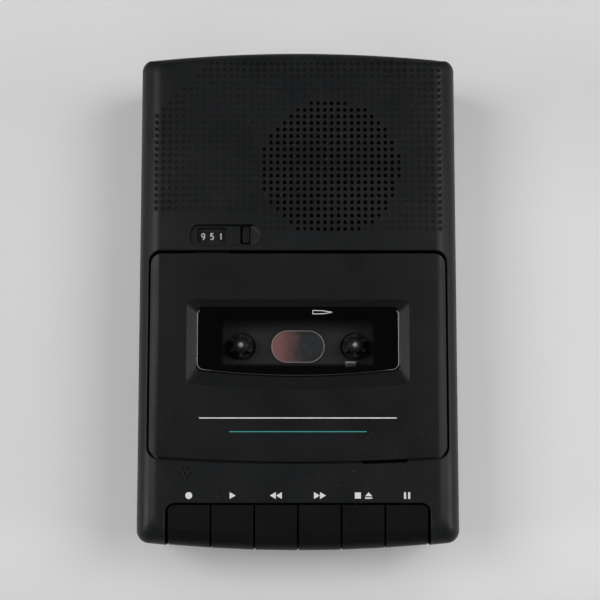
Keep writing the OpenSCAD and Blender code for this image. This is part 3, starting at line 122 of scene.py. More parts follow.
def bowed(half_w, front, rear, front_r, rear_r, front_bow, rear_bow):
    """Outline with rounded corners, counter-clockwise from the front right corner. Its ends are parabolas,
    end -+ bow * (x / half width)^2, its sides are straight, and each corner's arc meets both in line."""
    front_lean = math.atan(2 * front_bow * (half_w - front_r) / half_w ** 2)
    rear_lean = math.atan(2 * rear_bow * (half_w - rear_r) / half_w ** 2)
    front_x = half_w - front_r + front_r * math.sin(front_lean)
    rear_x = half_w - rear_r + rear_r * math.sin(rear_lean)
    front_mid = front + front_bow * (front_x / half_w) ** 2 + front_r * math.cos(front_lean)
    rear_mid = rear - rear_bow * (rear_x / half_w) ** 2 - rear_r * math.cos(rear_lean)
    t = np.linspace(0, 1, ARC_N + 1)
    run = np.linspace(-1, 1, BOW_N + 1)[1:-1]
    front_turn = front_lean - QUARTER + t * (QUARTER - front_lean)
    right_front = arc(half_w - front_r, front_mid, front_r, front_turn)
    right_rear = arc(half_w - rear_r, rear_mid, rear_r, t * (QUARTER - rear_lean))
    back = np.stack([-run * rear_x, rear - rear_bow * (run * rear_x / half_w) ** 2], 1)
    fore = np.stack([run * front_x, front + front_bow * (run * front_x / half_w) ** 2], 1)
    left_rear, left_front = right_rear[::-1] * [-1, 1], right_front[::-1] * [-1, 1]
    return np.concatenate([right_front, right_rear, back, left_rear, left_front, fore])


def radii(inset):
    """Radii of a skin that lies inset under the case's face: edges at side, front and rear, then corners."""
    return (SIDE_R - inset, FRONT_R - inset, max(REAR_R - inset, LEAST_EDGE_R),
            max(FRONT_CORNER - inset, LEAST_CORNER_R), max(REAR_CORNER - inset, LEAST_CORNER_R))


def case_ring(turn, inset=0.0):
    """Outline of the case where its edge rounding has turned by an angle: 0 at the upright side, a quarter
    turn where the flat top starts. Each edge draws in by its radius times 1 - cos(turn)."""
    draw = 1 - math.cos(turn)
    side, front, rear, *corners = radii(inset)
    return bowed(HALF_W - inset - side * draw, FRONT_Y + inset + front * draw, REAR_Y - inset - rear * draw,
                 *corners, BOW, BOW)


def case_height(x, y, inset=0.0):
    """Height of the rounded case over plan points. The edge turn whose ring passes a point is found by
    halving, and the height is the top less r * (1 - sin(turn)). Round a corner, r goes from end to side."""
    side, front, rear, front_r, rear_r = radii(inset)
    ax, ay = np.abs(x), np.abs(y)
    ahead = y < 0
    corner = np.where(ahead, front_r, rear_r)
    end_r = np.where(ahead, front, rear)
    end = np.where(ahead, -FRONT_Y, REAR_Y) - inset

    def place(turn):
        """Whether a point lies within the ring of its turn, and its share of the way from side to end."""
        draw = 1 - np.cos(turn)
        half = HALF_W - inset - side * draw
        lean = np.arctan(2 * BOW * (half - corner) / half ** 2)
        meet = half - corner + corner * np.sin(lean)
        reach = end - end_r * draw
        centre = reach - BOW * (meet / half) ** 2 - corner * np.cos(lean)
        at_corner = (ax > meet) & (ay > centre)
        in_arc = np.hypot(ax - half + corner, ay - centre) <= corner
        in_bow = (ay <= reach - BOW * (ax / half) ** 2) & (ax <= half)
        angle = np.arctan2(ay - centre, ax - half + corner)
        share = np.clip(angle / (QUARTER - lean), 0, 1)
        share = np.where(ax <= meet, 1.0, np.where(ay <= centre, 0.0, share))
        return np.where(at_corner, in_arc, in_bow), share

    halvings = 32
    low, high = np.zeros_like(ax), np.full_like(ax, QUARTER)
    for _ in range(halvings):
        mid = (low + high) / 2
        inside = place(mid)[0]
        low, high = np.where(inside, mid, low), np.where(inside, high, mid)
    share = place(low)[1]
    radius = side + (end_r - side) * share
    return TOP_Z - inset - radius * (1 - np.sin(low))


def inner_height(x, y):
    """Height of the case's inner skin over plan points."""
    return case_height(x, y, WALL)


def ramp(value, start, width):
    """0 up to start, rising straight to 1 over a width."""
    return np.clip((value - start) / width, 0, 1)


def dense(line, step, closed=True):
    """The same line with points added, so that no stretch of it is longer than step."""
    line = np.asarray(line, float)
    follow = np.roll(line, -1, 0) if closed else line[1:]
    start = line if closed else line[:-1]
    count = np.maximum(1, np.ceil(np.hypot(*(follow - start).T) / step).astype(int))
    index = np.repeat(np.arange(len(count)), count)
    first = np.repeat(np.cumsum(count) - count, count)
    t = ((np.arange(count.sum()) - first) / np.repeat(count, count))[:, None]
    made = start[index] * (1 - t) + follow[index] * t
    return made if closed else np.concatenate([made, line[-1:]])


def beside(line, reach, closed=True):
    """The line moved to its right by reach, along the mean normal of the stretches that meet at a point."""
    if closed:
        run = np.roll(line, -1, 0) - np.roll(line, 1, 0)
    else:
        run = np.gradient(line, axis=0)
    run /= np.linalg.norm(run, axis=1, keepdims=True)
    return line + reach * np.stack([run[:, 1], -run[:, 0]], 1)


def within(points, loop):
    """Which points lie inside a closed loop: those from which a ray crosses it an odd number of times."""
    x, y = points[:, :1], points[:, 1:2]
    a, b = loop, np.roll(loop, -1, 0)
    spans = (a[None, :, 1] > y) != (b[None, :, 1] > y)
    rise = np.where(b[:, 1] == a[:, 1], 1.0, b[:, 1] - a[:, 1])
    cross = a[None, :, 0] + (y - a[None, :, 1]) * ((b[:, 0] - a[:, 0]) / rise)[None]
    return (spans & (x < cross)).sum(1) % 2 == 1


def outside(points, *loops):
    """Which points lie outside all of the loops."""
    return ~np.any([within(points, loop) for loop in loops], axis=0)


def stretches(line, kept):
    """Parts of a closed line along which its points are kept, as open lines."""
    if kept.all():
        return [np.append(line, line[:1], 0)]
    start = int(np.argmin(kept))
    line, kept = np.roll(line, -start, 0), np.roll(kept, -start)
    ends = np.flatnonzero(np.diff(np.concatenate([[0], kept.astype(int), [0]])))
    return [line[a:b] for a, b in ends.reshape(-1, 2) if b - a > 1]


def grid_faces(rows, cols, wrap=True):
    """Quads of a grid of points that is stored row after row. Wrapped, its last column joins its first."""
    spread = np.meshgrid(np.arange(rows - 1), np.arange(cols if wrap else cols - 1), indexing="ij")
    r, c = (g.ravel() for g in spread)
    d = (c + 1) % cols
    return np.stack([r * cols + c, r * cols + d, (r + 1) * cols + d, (r + 1) * cols + c], 1)


def loft(rows, wrap=True, flip=False):
    """Skin over rows of points of equal length, as (points, faces)."""
    rows = np.asarray(rows, float)
    faces = grid_faces(rows.shape[0], rows.shape[1], wrap)
    return rows.reshape(-1, 3), faces[:, ::-1] if flip else faces


def raised(line, z):
    """Plan points with a height, which may be one number or one for each point."""
    return np.column_stack([line, np.broadcast_to(z, len(line))])


def sheet(loops, height, keep, bends=(), flip=False):
    """Triangles over the plan area where keep(points) holds. They follow the closed loops and the open bend
    lines, and each point is lifted to height(x, y)."""
    lines = [np.asarray(p, float) for p in [*loops, *bends]]
    first = np.cumsum([0] + [len(p) for p in lines])
    index = [a + np.arange(len(p)) for a, p in zip(first, lines)]
    edges = [np.stack([i, np.roll(i, -1)], 1) for i in index[:len(loops)]]
    edges += [np.stack([i[:-1], i[1:]], 1) for i in index[len(loops):]]
    spots = [Vector(p) for p in np.concatenate(lines)]
    made, _, tris, *_ = delaunay_2d_cdt(spots, np.concatenate(edges).tolist(), [], 0, 1e-5)
    flat = np.array([tuple(v) for v in made])
    tris = np.array(tris, int)
    tris = tris[keep(flat[tris].mean(1))]
    points = np.column_stack([flat, height(flat[:, 0], flat[:, 1])])
    return points, tris[:, ::-1] if flip else tris


def lip(line, radius, bottom, closed=True, steps=4):
    """Edge of an opening of the case: a quarter round of the radius from the skin's edge, then a wall to
    the bottom, carried along the edge line, which runs counter-clockwise."""
    z = case_height(line[:, 0], line[:, 1])
    rows = []
    for turn in np.linspace(0, QUARTER, steps + 1):
        drop = radius * (1 - math.cos(turn))
        rows.append(raised(beside(line, -radius * math.sin(turn), closed), z - drop))
    foot = rows[-1].copy()
    foot[:, 2] = bottom(foot[:, 0], foot[:, 1]) if callable(bottom) else bottom
    return loft(rows + [foot], closed, flip=True)


def weld(parts):
    """Joins parts, each (points, faces), and merges points that fall on the same spot of a fine lattice."""
    lattice = 1e-3
    points = np.concatenate([p for p, _ in parts])
    first = np.cumsum([0] + [len(p) for p, _ in parts])
    key, index = np.unique(np.round(points / lattice).astype(np.int64), axis=0, return_inverse=True)
    index = index.ravel()
    spots = np.zeros((len(key), 3))
    spots[index] = points
    faces = []
    for a, (_, f) in zip(first, parts):
        faces += index[np.asarray(f) + a].tolist()
    faces = [f for f in (list(dict.fromkeys(f)) for f in faces) if len(f) > 2]
    used, spread = np.unique(np.concatenate([np.array(f) for f in faces]), return_inverse=True)
    ends = np.cumsum([len(f) for f in faces])
    return spots[used], [f.tolist() for f in np.split(spread.ravel(), ends[:-1])]


def placed(name, data):
    """New object of some data, put into the scene."""
    obj = bpy.data.objects.new(name, data)
    bpy.context.scene.collection.objects.link(obj)
    return obj


def piece(name, parts, finish, body, stands_for=(), sharp=32):
    """Makes one welded mesh of the parts, gives it its finish and hangs it on a CAD body. Edges that turn
    by more than sharp degrees stay crisp."""
    points, faces = weld(parts)
    mesh = bpy.data.meshes.new(name)
    mesh.from_pydata((points * MM).tolist(), [], faces)
    mesh.validate()
    mesh.shade_smooth()
    mesh.set_sharp_from_angle(angle=math.radians(sharp))
    mesh.materials.append(finish)
    obj = placed(name, mesh)
    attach(obj, body)
    if stands_for:
        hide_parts(*stands_for)


# Finishes
class Value:
    """A number or colour that a finish works out at each point of a surface. Arithmetic adds Math nodes."""

    def __init__(self, finish, socket):
        self.finish, self.socket = finish, socket

    def math(self, operation, other=0.0, turned=False):
        """Math node on this value and another, in turned order if asked."""
        terms = (other, self) if turned else (self, other)
        return self.finish.node("ShaderNodeMath", {"operation": operation}, dict(enumerate(terms)))

    def __add__(self, other):
        return self.math("ADD", other)

    def __sub__(self, other):
        return self.math("SUBTRACT", other)

    def __rsub__(self, other):
        return self.math("SUBTRACT", other, True)

    def __mul__(self, other):
        return self.math("MULTIPLY", other)

    def __gt__(self, other):
        return self.math("GREATER_THAN", other)

    def __lt__(self, other):
        return self.math("LESS_THAN", other)

    def __abs__(self):
        return self.math("ABSOLUTE")

    def __pow__(self, other):
        return self.math("POWER", other)

    def __rpow__(self, other):
        return self.math("POWER", other, True)

    __radd__, __rmul__ = __add__, __mul__

    def fade(self, start, end):
        """0 up to start, 1 from end on, and straight between."""
        slope = 1 / (end - start)
        return self.finish.node("ShaderNodeMath", {"operation": "MULTIPLY_ADD", "use_clamp": True},
                                {0: self, 1: slope, 2: -start * slope})


class Finish:
    """Nodes of a material or of the world: node() adds any node, and the other methods are its recipes."""

    def __init__(self, owner):
        self.owner = owner
        owner.use_nodes = True
        self.tree = owner.node_tree
        self.tree.nodes.clear()

    def node(self, kind, settings=None, sockets=None, out=0):
        """Adds a node, sets its settings, then its sockets' values or links, and returns an output."""
        made = self.tree.nodes.new(kind)
        for key, value in (settings or {}).items():
            if key == "stops":
                while len(made.color_ramp.elements) < len(value):
                    made.color_ramp.elements.new(0.5)
                for stop, (at, color) in zip(made.color_ramp.elements, value):
                    stop.position, stop.color = at, color
            else:
                setattr(made, key, value)
        for key, value in (sockets or {}).items():
            if isinstance(value, Value):
                self.tree.links.new(value.socket, made.inputs[key])
            else:
                made.inputs[key].default_value = value
        return Value(self, made.outputs[out]) if made.outputs else None

    def place(self, stretch=(1, 1, 1)):
        """Point on the piece in millimetres, stretched along its axes."""
        spot = self.node("ShaderNodeTexCoord", out="Object")
        return self.node("ShaderNodeMapping", {}, {"Vector": spot, "Scale": [s / MM for s in stretch]})

    def axes(self):
        """The three coordinates of a point on the piece, in millimetres."""
        spot = self.node("ShaderNodeSeparateXYZ", {}, {"Vector": self.place()})
        return [Value(self, o) for o in spot.socket.node.outputs]

    def noise(self, size, detail=3, rough=0.6, stretch=(1, 1, 1)):
        """Soft random value from 0 to 1 whose patches are about size millimetres wide."""
        return self.node("ShaderNodeTexNoise", {}, {"Vector": self.place(stretch), "Scale": 1 / size,
                                                   "Detail": detail, "Roughness": rough})

    def mix(self, share, first, second):
        """Colour from the first, at share 0, to the second, at share 1."""
        ends = [c if isinstance(c, Value) else (*c[:3], 1.0) for c in (first, second)]
        return self.node("ShaderNodeMix", {"data_type": "RGBA"}, {0: share, 6: ends[0], 7: ends[1]}, out=2)

    def bump(self, height, depth):
        """Surface normal of a relief of that depth in millimetres."""
        return self.node("ShaderNodeBump", {}, {"Height": height, "Distance": depth * MM, "Strength": 1.0})

    def coat(self, **sockets):
        """Closes the material with a surface that takes these sockets, and returns the material."""
        named = {key.replace("_", " "): value for key, value in sockets.items()}
        surface = self.node("ShaderNodeBsdfPrincipled", {}, named)
        self.node("ShaderNodeOutputMaterial", {}, {"Surface": surface})
        return self.owner


def material(name):
    """A new material to make up."""
    return Finish(bpy.data.materials.new(name))


def tone(level, warmth=0.0):
    """Linear colour of a grey written as a display level from 0 to 255, a little warm or cool."""
    grey = ((level / 255 + 0.055) / 1.055) ** 2.4 if level > 10 else level / 255 / 12.92
    return grey * (1 + warmth), grey, grey * (1 - warmth)


def moulded(name, level, rough, grain, warmth=0.0, dust=0.0, gloss=0.5):
    """Moulded plastic: a fine spark-eroded grain, slow drifts of tone and gloss where hands have polished
    it, and pale specks of dust, which lie in patches."""
    f = material(name)
    fine, drift = f.noise(0.32), f.noise(14, 4, 0.55)
    body = f.mix(drift, tone(level * 0.9, warmth), tone(level * 1.1, warmth))
    body = f.mix(fine * 0.25, body, tone(level * 1.35, warmth))
    if dust:
        spacing, size, dusty = 2.1, 0.075, f.noise(26) > 0.52
        speck = f.node("ShaderNodeTexVoronoi", {}, {"Vector": f.place(), "Scale": 1 / spacing}) < size
        body = f.mix(speck * dusty * dust, body, tone(120))
    shine = rough + (drift - 0.5) * 0.22 + (fine - 0.5) * 0.12
    return f.coat(Base_Color=body, Roughness=shine, Normal=f.bump(fine, grain), Specular_IOR_Level=gloss)


def smooth_metal(name, color, rough, brushed=(1, 1, 1), grain=0.0008):
    """Bright metal: fine lines or cloudy polish in its gloss, and a faint tarnish in its colour."""
    f = material(name)
    lines, cloud = f.noise(0.25, stretch=brushed), f.noise(6, 3, 0.5)
    body = f.mix(cloud, [0.86 * c for c in color], color)
    return f.coat(Base_Color=body, Metallic=1.0, Roughness=rough + (lines - 0.5) * 0.1,
                  Normal=f.bump(lines, grain))


def ink(name, color):
    """Screen-printed ink: thin and a little uneven."""
    f = material(name)
    cover = f.noise(0.5)
    body = f.mix(cover, [0.8 * c for c in color], color)
    return f.coat(Base_Color=body, Roughness=0.5 + (cover - 0.5) * 0.2, Normal=f.bump(cover, 0.004))


def dull(name, first, second, size, rough, grain, gloss=0.5):
    """Dull stuff of two tones in patches of a size: rubber, pressed paper, laminate or sintered metal."""
    f = material(name)
    patch, fine = f.noise(size, 4), f.noise(0.4)
    return f.coat(Base_Color=f.mix(patch, first, second), Roughness=rough + (fine - 0.5) * 0.2,
                  Normal=f.bump(fine, grain), Specular_IOR_Level=gloss)


def smoked_window():
    """Smoked lens: a black border that fades into a clear, tinted middle, with faint wiping marks."""
    half_w, half_l, mid_y, border = 28.9, 9.5, middle("window_lens")[1], 1.8
    f = material("smoked_window")
    x, y, _ = f.axes()
    clear = (half_w - abs(x)).fade(0, border) * (half_l - abs(y - mid_y)).fade(0, border)
    wipes = f.noise(2.2, 4, stretch=(0.25, 1, 1))
    return f.coat(Base_Color=f.mix(wipes, tone(4), tone(7)), Roughness=0.05 + wipes * 0.06,
                  Alpha=1 - clear * 0.8, Normal=f.bump(wipes, 0.001), Specular_IOR_Level=0.32)


def silvered():
    """Little mirror: a painted warm reflection at its left end, grey and mottled to the right."""
    f = material("silvered")
    x, _, _ = f.axes()
    blot, fine = f.noise(3.2, 4, 0.65), f.noise(0.5)
    # Painted reflection: warm and bright towards the left end, fading to grey at the right
    painted_reflection = (x + (blot - 0.5) * 9).fade(-7.5, 1.5)
    grey = f.mix(blot, tone(58, -0.05), tone(106, -0.05))
    return f.coat(Base_Color=f.mix(painted_reflection, (0.66, 0.3, 0.29), grey), Metallic=0.3,
                  Roughness=0.24 + fine * 0.16, Normal=f.bump(fine, 0.003))


def lens_highlight_paint():
    """Painted highlight of the moulded lens edge: bright in patches at its sides, faint at its front."""
    f = material("painted_edge_highlight")
    x, _, _ = f.axes()
    patch = f.noise(9, 4)
    side = (abs(x) - 31).fade(0, 5)
    body = f.mix(side, f.mix(patch, tone(16), tone(60)), f.mix(patch, tone(70), tone(150)))
    return f.coat(Base_Color=body, Roughness=0.18 + patch * 0.1)


def clear_pane():
    """Clear little pane over the number wheels, with a haze of fine scratches."""
    f = material("clear_pane")
    haze = f.noise(0.5, stretch=(0.3, 1, 1))
    return f.coat(Base_Color=f.mix(haze, tone(30), tone(50)), Roughness=0.05 + haze * 0.1,
                  Alpha=0.05 + haze * 0.04)


FINISHES = {
    "case_plastic": moulded("case_plastic", 17, 0.38, grain=0.01, warmth=-0.12, dust=0.4, gloss=0.2),
    "lid_plastic": moulded("lid_plastic", 14, 0.37, grain=0.009, warmth=-0.12, dust=0.3, gloss=0.2),
    "key_plastic": moulded("key_plastic", 8, 0.42, grain=0.008, warmth=-0.08, dust=0.25, gloss=0.12),
    "black_plastic": moulded("black_plastic", 9, 0.4, grain=0.006, gloss=0.2),
    "rubber": dull("rubber", tone(22), tone(30), size=1.5, rough=0.75, grain=0.02),
    "bright_steel": smooth_metal("bright_steel", (0.62, 0.62, 0.63), 0.34, (1, 0.2, 1), grain=0.0001),
    "light_alloy": smooth_metal("light_alloy", (0.7, 0.7, 0.71), 0.35, (0.06, 1, 1)),
    "head_metal": smooth_metal("head_metal", (0.72, 0.7, 0.66), 0.2, (1, 1, 0.06)),
    "brass": smooth_metal("brass", (0.62, 0.45, 0.2), 0.3),
    "flywheel_metal": smooth_metal("flywheel_metal", (0.45, 0.43, 0.39), 0.38),
    "black_metal": dull("black_metal", tone(12), tone(18), size=2.0, rough=0.5, grain=0.006),
    "motor_steel": smooth_metal("motor_steel", (0.5, 0.5, 0.52), 0.42),
    "paper_cone": dull("paper_cone", tone(24), tone(36), size=0.9, rough=0.85, grain=0.05),
    "magnet": dull("magnet", tone(44), tone(56), size=0.7, rough=0.7, grain=0.02),
    "board": dull("board", (0.2, 0.11, 0.035), (0.26, 0.15, 0.05), size=3.0, rough=0.5, grain=0.008),
    "parts": dull("parts", tone(28, -0.4), tone(40, -0.4), size=2.0, rough=0.35, grain=0.004),
    "smoked_window": smoked_window(),
    "clear_window": clear_pane(),
    "polished": silvered(),
}
WHITE_INK = ink("white_ink", tone(225))
TEAL_INK = ink("teal_ink", (0.02, 0.3, 0.27))
# Painted highlight for the bead along the lens edge
PAINTED_EDGE_HIGHLIGHT = lens_highlight_paint()
WELL_FLOOR = dull("well_floor", tone(50, 0.06), tone(63, 0.03), size=5.0, rough=0.6, grain=0.02)
SPINDLE = dull("spindle", tone(40, 0.06), tone(50, 0.05), size=2.0, rough=0.4, grain=0.01)
MASK = dull("counter_mask", tone(24, -0.06), tone(30, -0.06), size=3.0, rough=0.6, grain=0.004, gloss=0.2)
# Painted shade: near-black for the floor of the latch slot, standing for the shadow in it
SLOT_SHADE = dull("slot_painted_shade", tone(2), tone(4), size=3.0, rough=0.7, grain=0.004, gloss=0.05)
FIGURE_INK = ink("figure_ink", tone(250))
WHITE_METAL = dull("white_metal", tone(212), tone(228), size=1.2, rough=0.3, grain=0.004)
OWN_FINISH = {"cassette_well": WELL_FLOOR, "detent_tab": WHITE_METAL, "reel_pins": WHITE_METAL,
              "supply_spindle": SPINDLE, "takeup_spindle": SPINDLE, **{wheel: MASK for wheel in WHEELS}}


# Looks of the CAD parts
PLAIN_ANGLE, LID_ANGLE, FLAT_ANGLE = 32, 18, 0.6
JOIN_REACH, BEVEL_STEPS, EVEN_WEIGHT = 1e-6, 2, 80
SLOT_OF = {p["node"]: p["material_slot"] for p in frame["record"]["subparts"]}
SOFT_EDGES = {
    "lid": 0.35, "bottom_case": 0.35, "battery_door": 0.3, "feet": 0.5, "cassette_well": 0.25,
    "reset_button": 0.15, "supply_spindle": 0.12, "takeup_spindle": 0.12, "view_mirror": 0.2,
    "window_lens": 0.3, "volume_wheel": 0.12,
    **{k: 0.35 for k in nodes if k.startswith("key_") and k not in ("key_rod", "key_spring_comb")},
}


def crisp_edges(angle):
    """Nodes of a modifier that shades faces smooth and keeps edges crisp that turn by more than an angle."""
    group = bpy.data.node_groups.new("crisp_edges", "GeometryNodeTree")
    for way in ("INPUT", "OUTPUT"):
        group.interface.new_socket("Geometry", in_out=way, socket_type="NodeSocketGeometry")
    start, end, faces, edges, turn, over = (group.nodes.new(kind) for kind in (
        "NodeGroupInput", "NodeGroupOutput", "GeometryNodeSetShadeSmooth", "GeometryNodeSetShadeSmooth",
        "GeometryNodeInputMeshEdgeAngle", "FunctionNodeCompare"))
    edges.domain = "EDGE"
    edges.inputs["Shade Smooth"].default_value = False
    over.data_type, over.operation = "FLOAT", "GREATER_THAN"
    over.inputs[1].default_value = math.radians(angle)
    for source, goal, socket in ((start, faces, "Geometry"), (faces, edges, "Geometry"), (turn, over, 0),
                                 (over, edges, "Selection"), (edges, end, 0)):
        group.links.new(source.outputs[0], goal.inputs[socket])
    return group


CRISP = {angle: crisp_edges(angle) for angle in (LID_ANGLE, PLAIN_ANGLE)}


def dress(name, width, angle):
    """Gives a CAD node its finish, merges its loose triangles, rounds edges sharper than an angle by a
    width, if it has one, and shades it."""
    obj = nodes[name]
    obj.data.materials.clear()
    obj.data.materials.append(OWN_FINISH.get(name, FINISHES[SLOT_OF[name]]))
    join = obj.modifiers.new("join", "WELD")
    join.merge_threshold = JOIN_REACH
    if width:
        flat = obj.modifiers.new("flat", "DECIMATE")
        flat.decimate_type, flat.angle_limit = "DISSOLVE", math.radians(FLAT_ANGLE)
        soft = obj.modifiers.new("soft_edges", "BEVEL")
        soft.width, soft.segments = width * MM, BEVEL_STEPS
        soft.limit_method, soft.angle_limit = "ANGLE", math.radians(angle)
    shade = obj.modifiers.new("shade", "NODES")
    shade.node_group = CRISP[angle]
    if width:
        even = obj.modifiers.new("even", "WEIGHTED_NORMAL")
        even.keep_sharp, even.weight = True, EVEN_WEIGHT


for node in nodes:
    dress(node, SOFT_EDGES.get(node, 0.0), LID_ANGLE if node == "lid" else PLAIN_ANGLE)


# Openings of the case
def lid_outline(grow):
    """Outline of the opening round the lid, without the latch slot."""
    corner = LID_CORNER + LID_GAP + grow
    return bowed(LID_HALF_W + LID_GAP + grow, LID_FRONT - LID_GAP - grow, LID_REAR + HINGE_GAP + grow,
                 corner, corner, LID_BOW, 0)


def lid_opening(grow):
    """Opening of the case round the lid, with the latch slot let into its front edge."""
    loop = lid_outline(grow)
    half = SLOT_W / 2 + grow
    sides = SLOT_X + np.array([-half, half])
    edge = LID_FRONT - LID_GAP - grow + LID_BOW * (sides / (LID_HALF_W + LID_GAP + grow)) ** 2
    deep = edge - SLOT_D
    notch = np.array([[sides[0], edge[0]], [sides[0], deep[0]], [sides[1], deep[1]], [sides[1], edge[1]]])
    ahead = (loop[:, 1] < 0) & (np.abs(loop[:, 0] - SLOT_X) <= half)
    first = int(np.argmax(ahead))
    return dense(np.concatenate([loop[:first], notch, loop[first + int(ahead.sum()):]]), EDGE_STEP)


def bay_opening(grow):
    """Opening for the keys, which runs out through the front of the case."""
    loop = bowed(BAY_HALF_W + grow, FRONT_Y - BAY_AHEAD, BAY_REAR + grow, 1, BAY_R + grow, 0, 0)
    return dense(loop, EDGE_STEP)


def slot_loop(run, r, count):
    """Slot with round ends, long from side to side: half circles of radius r, moved run to each side."""
    right = arc(run, 0, r, np.linspace(-QUARTER, QUARTER, count))
    return np.concatenate([right, -right])


def pill(grow):
    """Outline of the counter recess, a slot with round ends."""
    return dense(slot_loop((PILL_L - PILL_W) / 2, PILL_W / 2 + grow, 15) + [PILL_X, PILL_Y], EDGE_STEP)


def round_hole(x, y, r, count=16):
    """Circle, counter-clockwise."""
    return arc(x, y, r, np.arange(count) * 2 * np.pi / count)


def oblong(low, high):
    """Rectangle between two corners, counter-clockwise."""
    return np.array([[low[0], low[1]], [high[0], low[1]], [high[0], high[1]], [low[0], high[1]]])


RIM, INNER_RIM = dense(case_ring(0), 4), dense(case_ring(0, WALL), 4)
LID_HOLE, BAY_HOLE, PILL_HOLE = lid_opening(EDGE_EASE), bay_opening(EDGE_EASE), pill(FINE_EASE)
PORT_SPOTS = np.concatenate([[[MIC_X, MIC_Y]], round_hole(MIC_X, MIC_Y, PORT_RING, 6)])
PORTS = [round_hole(x, y, PORT_R + PORT_EASE) for x, y in PORT_SPOTS]
CUTS = [dense(oblong(low, high), 2) for low, high in (
    (WINDOW_LOW - WINDOW_GAP, WINDOW_HIGH + WINDOW_GAP),
    ([BUTTON_LEFT, WINDOW_LOW[1] - BUTTON_GAP], [BUTTON_RIGHT, WINDOW_HIGH[1] + BUTTON_GAP]))]


# Speaker field
COLUMN, ROW = (g.ravel() for g in np.meshgrid(
    np.arange(-HALF_COLUMNS, HALF_COLUMNS + 1), np.arange(FIELD_ROWS), indexing="ij"))
HOLE_X, HOLE_Y = PITCH * COLUMN, FIELD_Y + PITCH * ROW
HOLES = np.stack([HOLE_X, HOLE_Y], 1)
OPEN = np.hypot(HOLE_X - SPEAKER_X, HOLE_Y - SPEAKER_Y) < OPEN_R
# The field leaves out its left rear corner, along a slant, and the rows beside the counter
FIELD = OPEN | ((ROW <= COLUMN + CORNER_CUT) & ((ROW >= COUNTER_ROWS) | (HOLE_X > COUNTER_X)))


def cell_of(points, chosen):
    """Which points lie in one of the chosen square cells of the speaker field."""
    columns = 2 * HALF_COLUMNS + 1
    grid = np.zeros((columns, FIELD_ROWS), bool)
    grid[COLUMN[chosen] + HALF_COLUMNS, ROW[chosen]] = True
    c = np.round(points[:, 0] / PITCH).astype(int) + HALF_COLUMNS
    r = np.round((points[:, 1] - FIELD_Y) / PITCH).astype(int)
    inside = (c >= 0) & (c < columns) & (r >= 0) & (r < FIELD_ROWS)
    return inside & grid[np.clip(c, 0, columns - 1), np.clip(r, 0, FIELD_ROWS - 1)]


def cell_border(chosen):
    """Cell sides between a chosen cell of the field and one that isn't, each a line of four points."""
    near = 0.5 * PITCH * math.tan(math.pi / HOLE_SIDES)
    along = np.array([-PITCH / 2, -near, near, PITCH / 2])
    spots = HOLES[chosen]
    sides = []
    for dx, dy in ((1, 0), (-1, 0), (0, 1), (0, -1)):
        edge = ~cell_of(spots + PITCH * np.array([dx, dy]), chosen)
        centre = spots[edge] + PITCH / 2 * np.array([dx, dy])
        sides += list(centre[:, None] + along[:, None] * np.array([abs(dy), abs(dx)]))
    return sides


def cells(chosen, through):
    """Square cells of the speaker field, all at once: a ring on the cell's border, the rim of the hole, its
    eased edge and its wall, which ends in a floor or, where the hole goes through, in a ring on the inner
    face. Dimples are deeper towards the sides and the rear of the field, less so on the right."""
    aim = arc(0, 0, 1, (np.arange(HOLE_SIDES) + 0.5) * 2 * np.pi / HOLE_SIDES)
    square = aim / np.abs(aim).max(1, keepdims=True) * PITCH / 2
    spot = HOLES[chosen]
    count = len(spot)

    def ring(plan, drop, level, inset=0.0):
        """A ring of every cell, on the skin or, if not level, at the height over the hole's middle."""
        flat = (spot[:, None] + plan[None]).reshape(-1, 2)
        base = flat if level else np.repeat(spot, HOLE_SIDES, 0)
        z = case_height(base[:, 0], base[:, 1], inset) - drop
        return np.column_stack([flat, z]).reshape(count, HOLE_SIDES, 3)

    ease = OPEN_EASE if through else DIMPLE_EASE
    rings = [ring(square, 0, True), ring(aim * (HOLE_R + ease), 0, True), ring(aim * HOLE_R, ease, False)]
    if through:
        rings += [ring(aim * HOLE_R, 0, True, WALL), ring(square, 0, True, WALL)]
    else:
        left, right = ramp(-spot[:, 0], DEEP_X, DEEP_X_RUN), ramp(spot[:, 0], DEEP_X, DEEP_X_RUN)
        outer = np.maximum(left + DEEP_RIGHT * right, ramp(spot[:, 1], DEEP_Y, DEEP_Y_RUN))
        depth = np.repeat(DIMPLE_D + DIMPLE_MORE * outer, HOLE_SIDES)
        rings += [ring(aim * (HOLE_R - DIMPLE_TAPER), depth, False)]
    points = np.stack(rings, 1)
    quads = grid_faces(len(rings), HOLE_SIDES)
    first = np.arange(count) * len(rings) * HOLE_SIDES
    made = [(points.reshape(-1, 3), (quads[None] + first[:, None, None]).reshape(-1, 4))]
    if not through:
        bottoms = np.arange(count * HOLE_SIDES).reshape(count, HOLE_SIDES)
        made.append((points[:, -1].reshape(-1, 3), bottoms))
    return made


# Upper case
def pill_floor(x, y):
    """Floor of the counter recess, which rises to its right end as a slope for the fingertip."""
    return PILL_FLOOR + RAMP_H * ramp(x, RAMP_X, RAMP_L)


def skin_bends():
    """Lines along which the skin bends, clear of the openings and the field, and one beside the key bay."""
    levels, mouth_gap = 13, 5
    corners = PITCH / 4 * np.array([[1, 1], [1, -1], [-1, 1], [-1, -1]])
    holes = [lid_opening(EDGE_EASE + CLEAR_GAP), bay_opening(EDGE_EASE + CLEAR_GAP)]
    bends = []
    for turn in np.linspace(0, QUARTER, levels)[1:]:
        line = dense(case_ring(turn), 2)
        in_field = np.any([cell_of(line + d, FIELD) for d in corners], axis=0)
        bends += stretches(line, outside(line, *holes) & ~in_field)
    near_bay = bay_opening(EDGE_EASE + NEAR_GAP)
    return bends + stretches(near_bay, near_bay[:, 1] > FRONT_Y + mouth_gap)


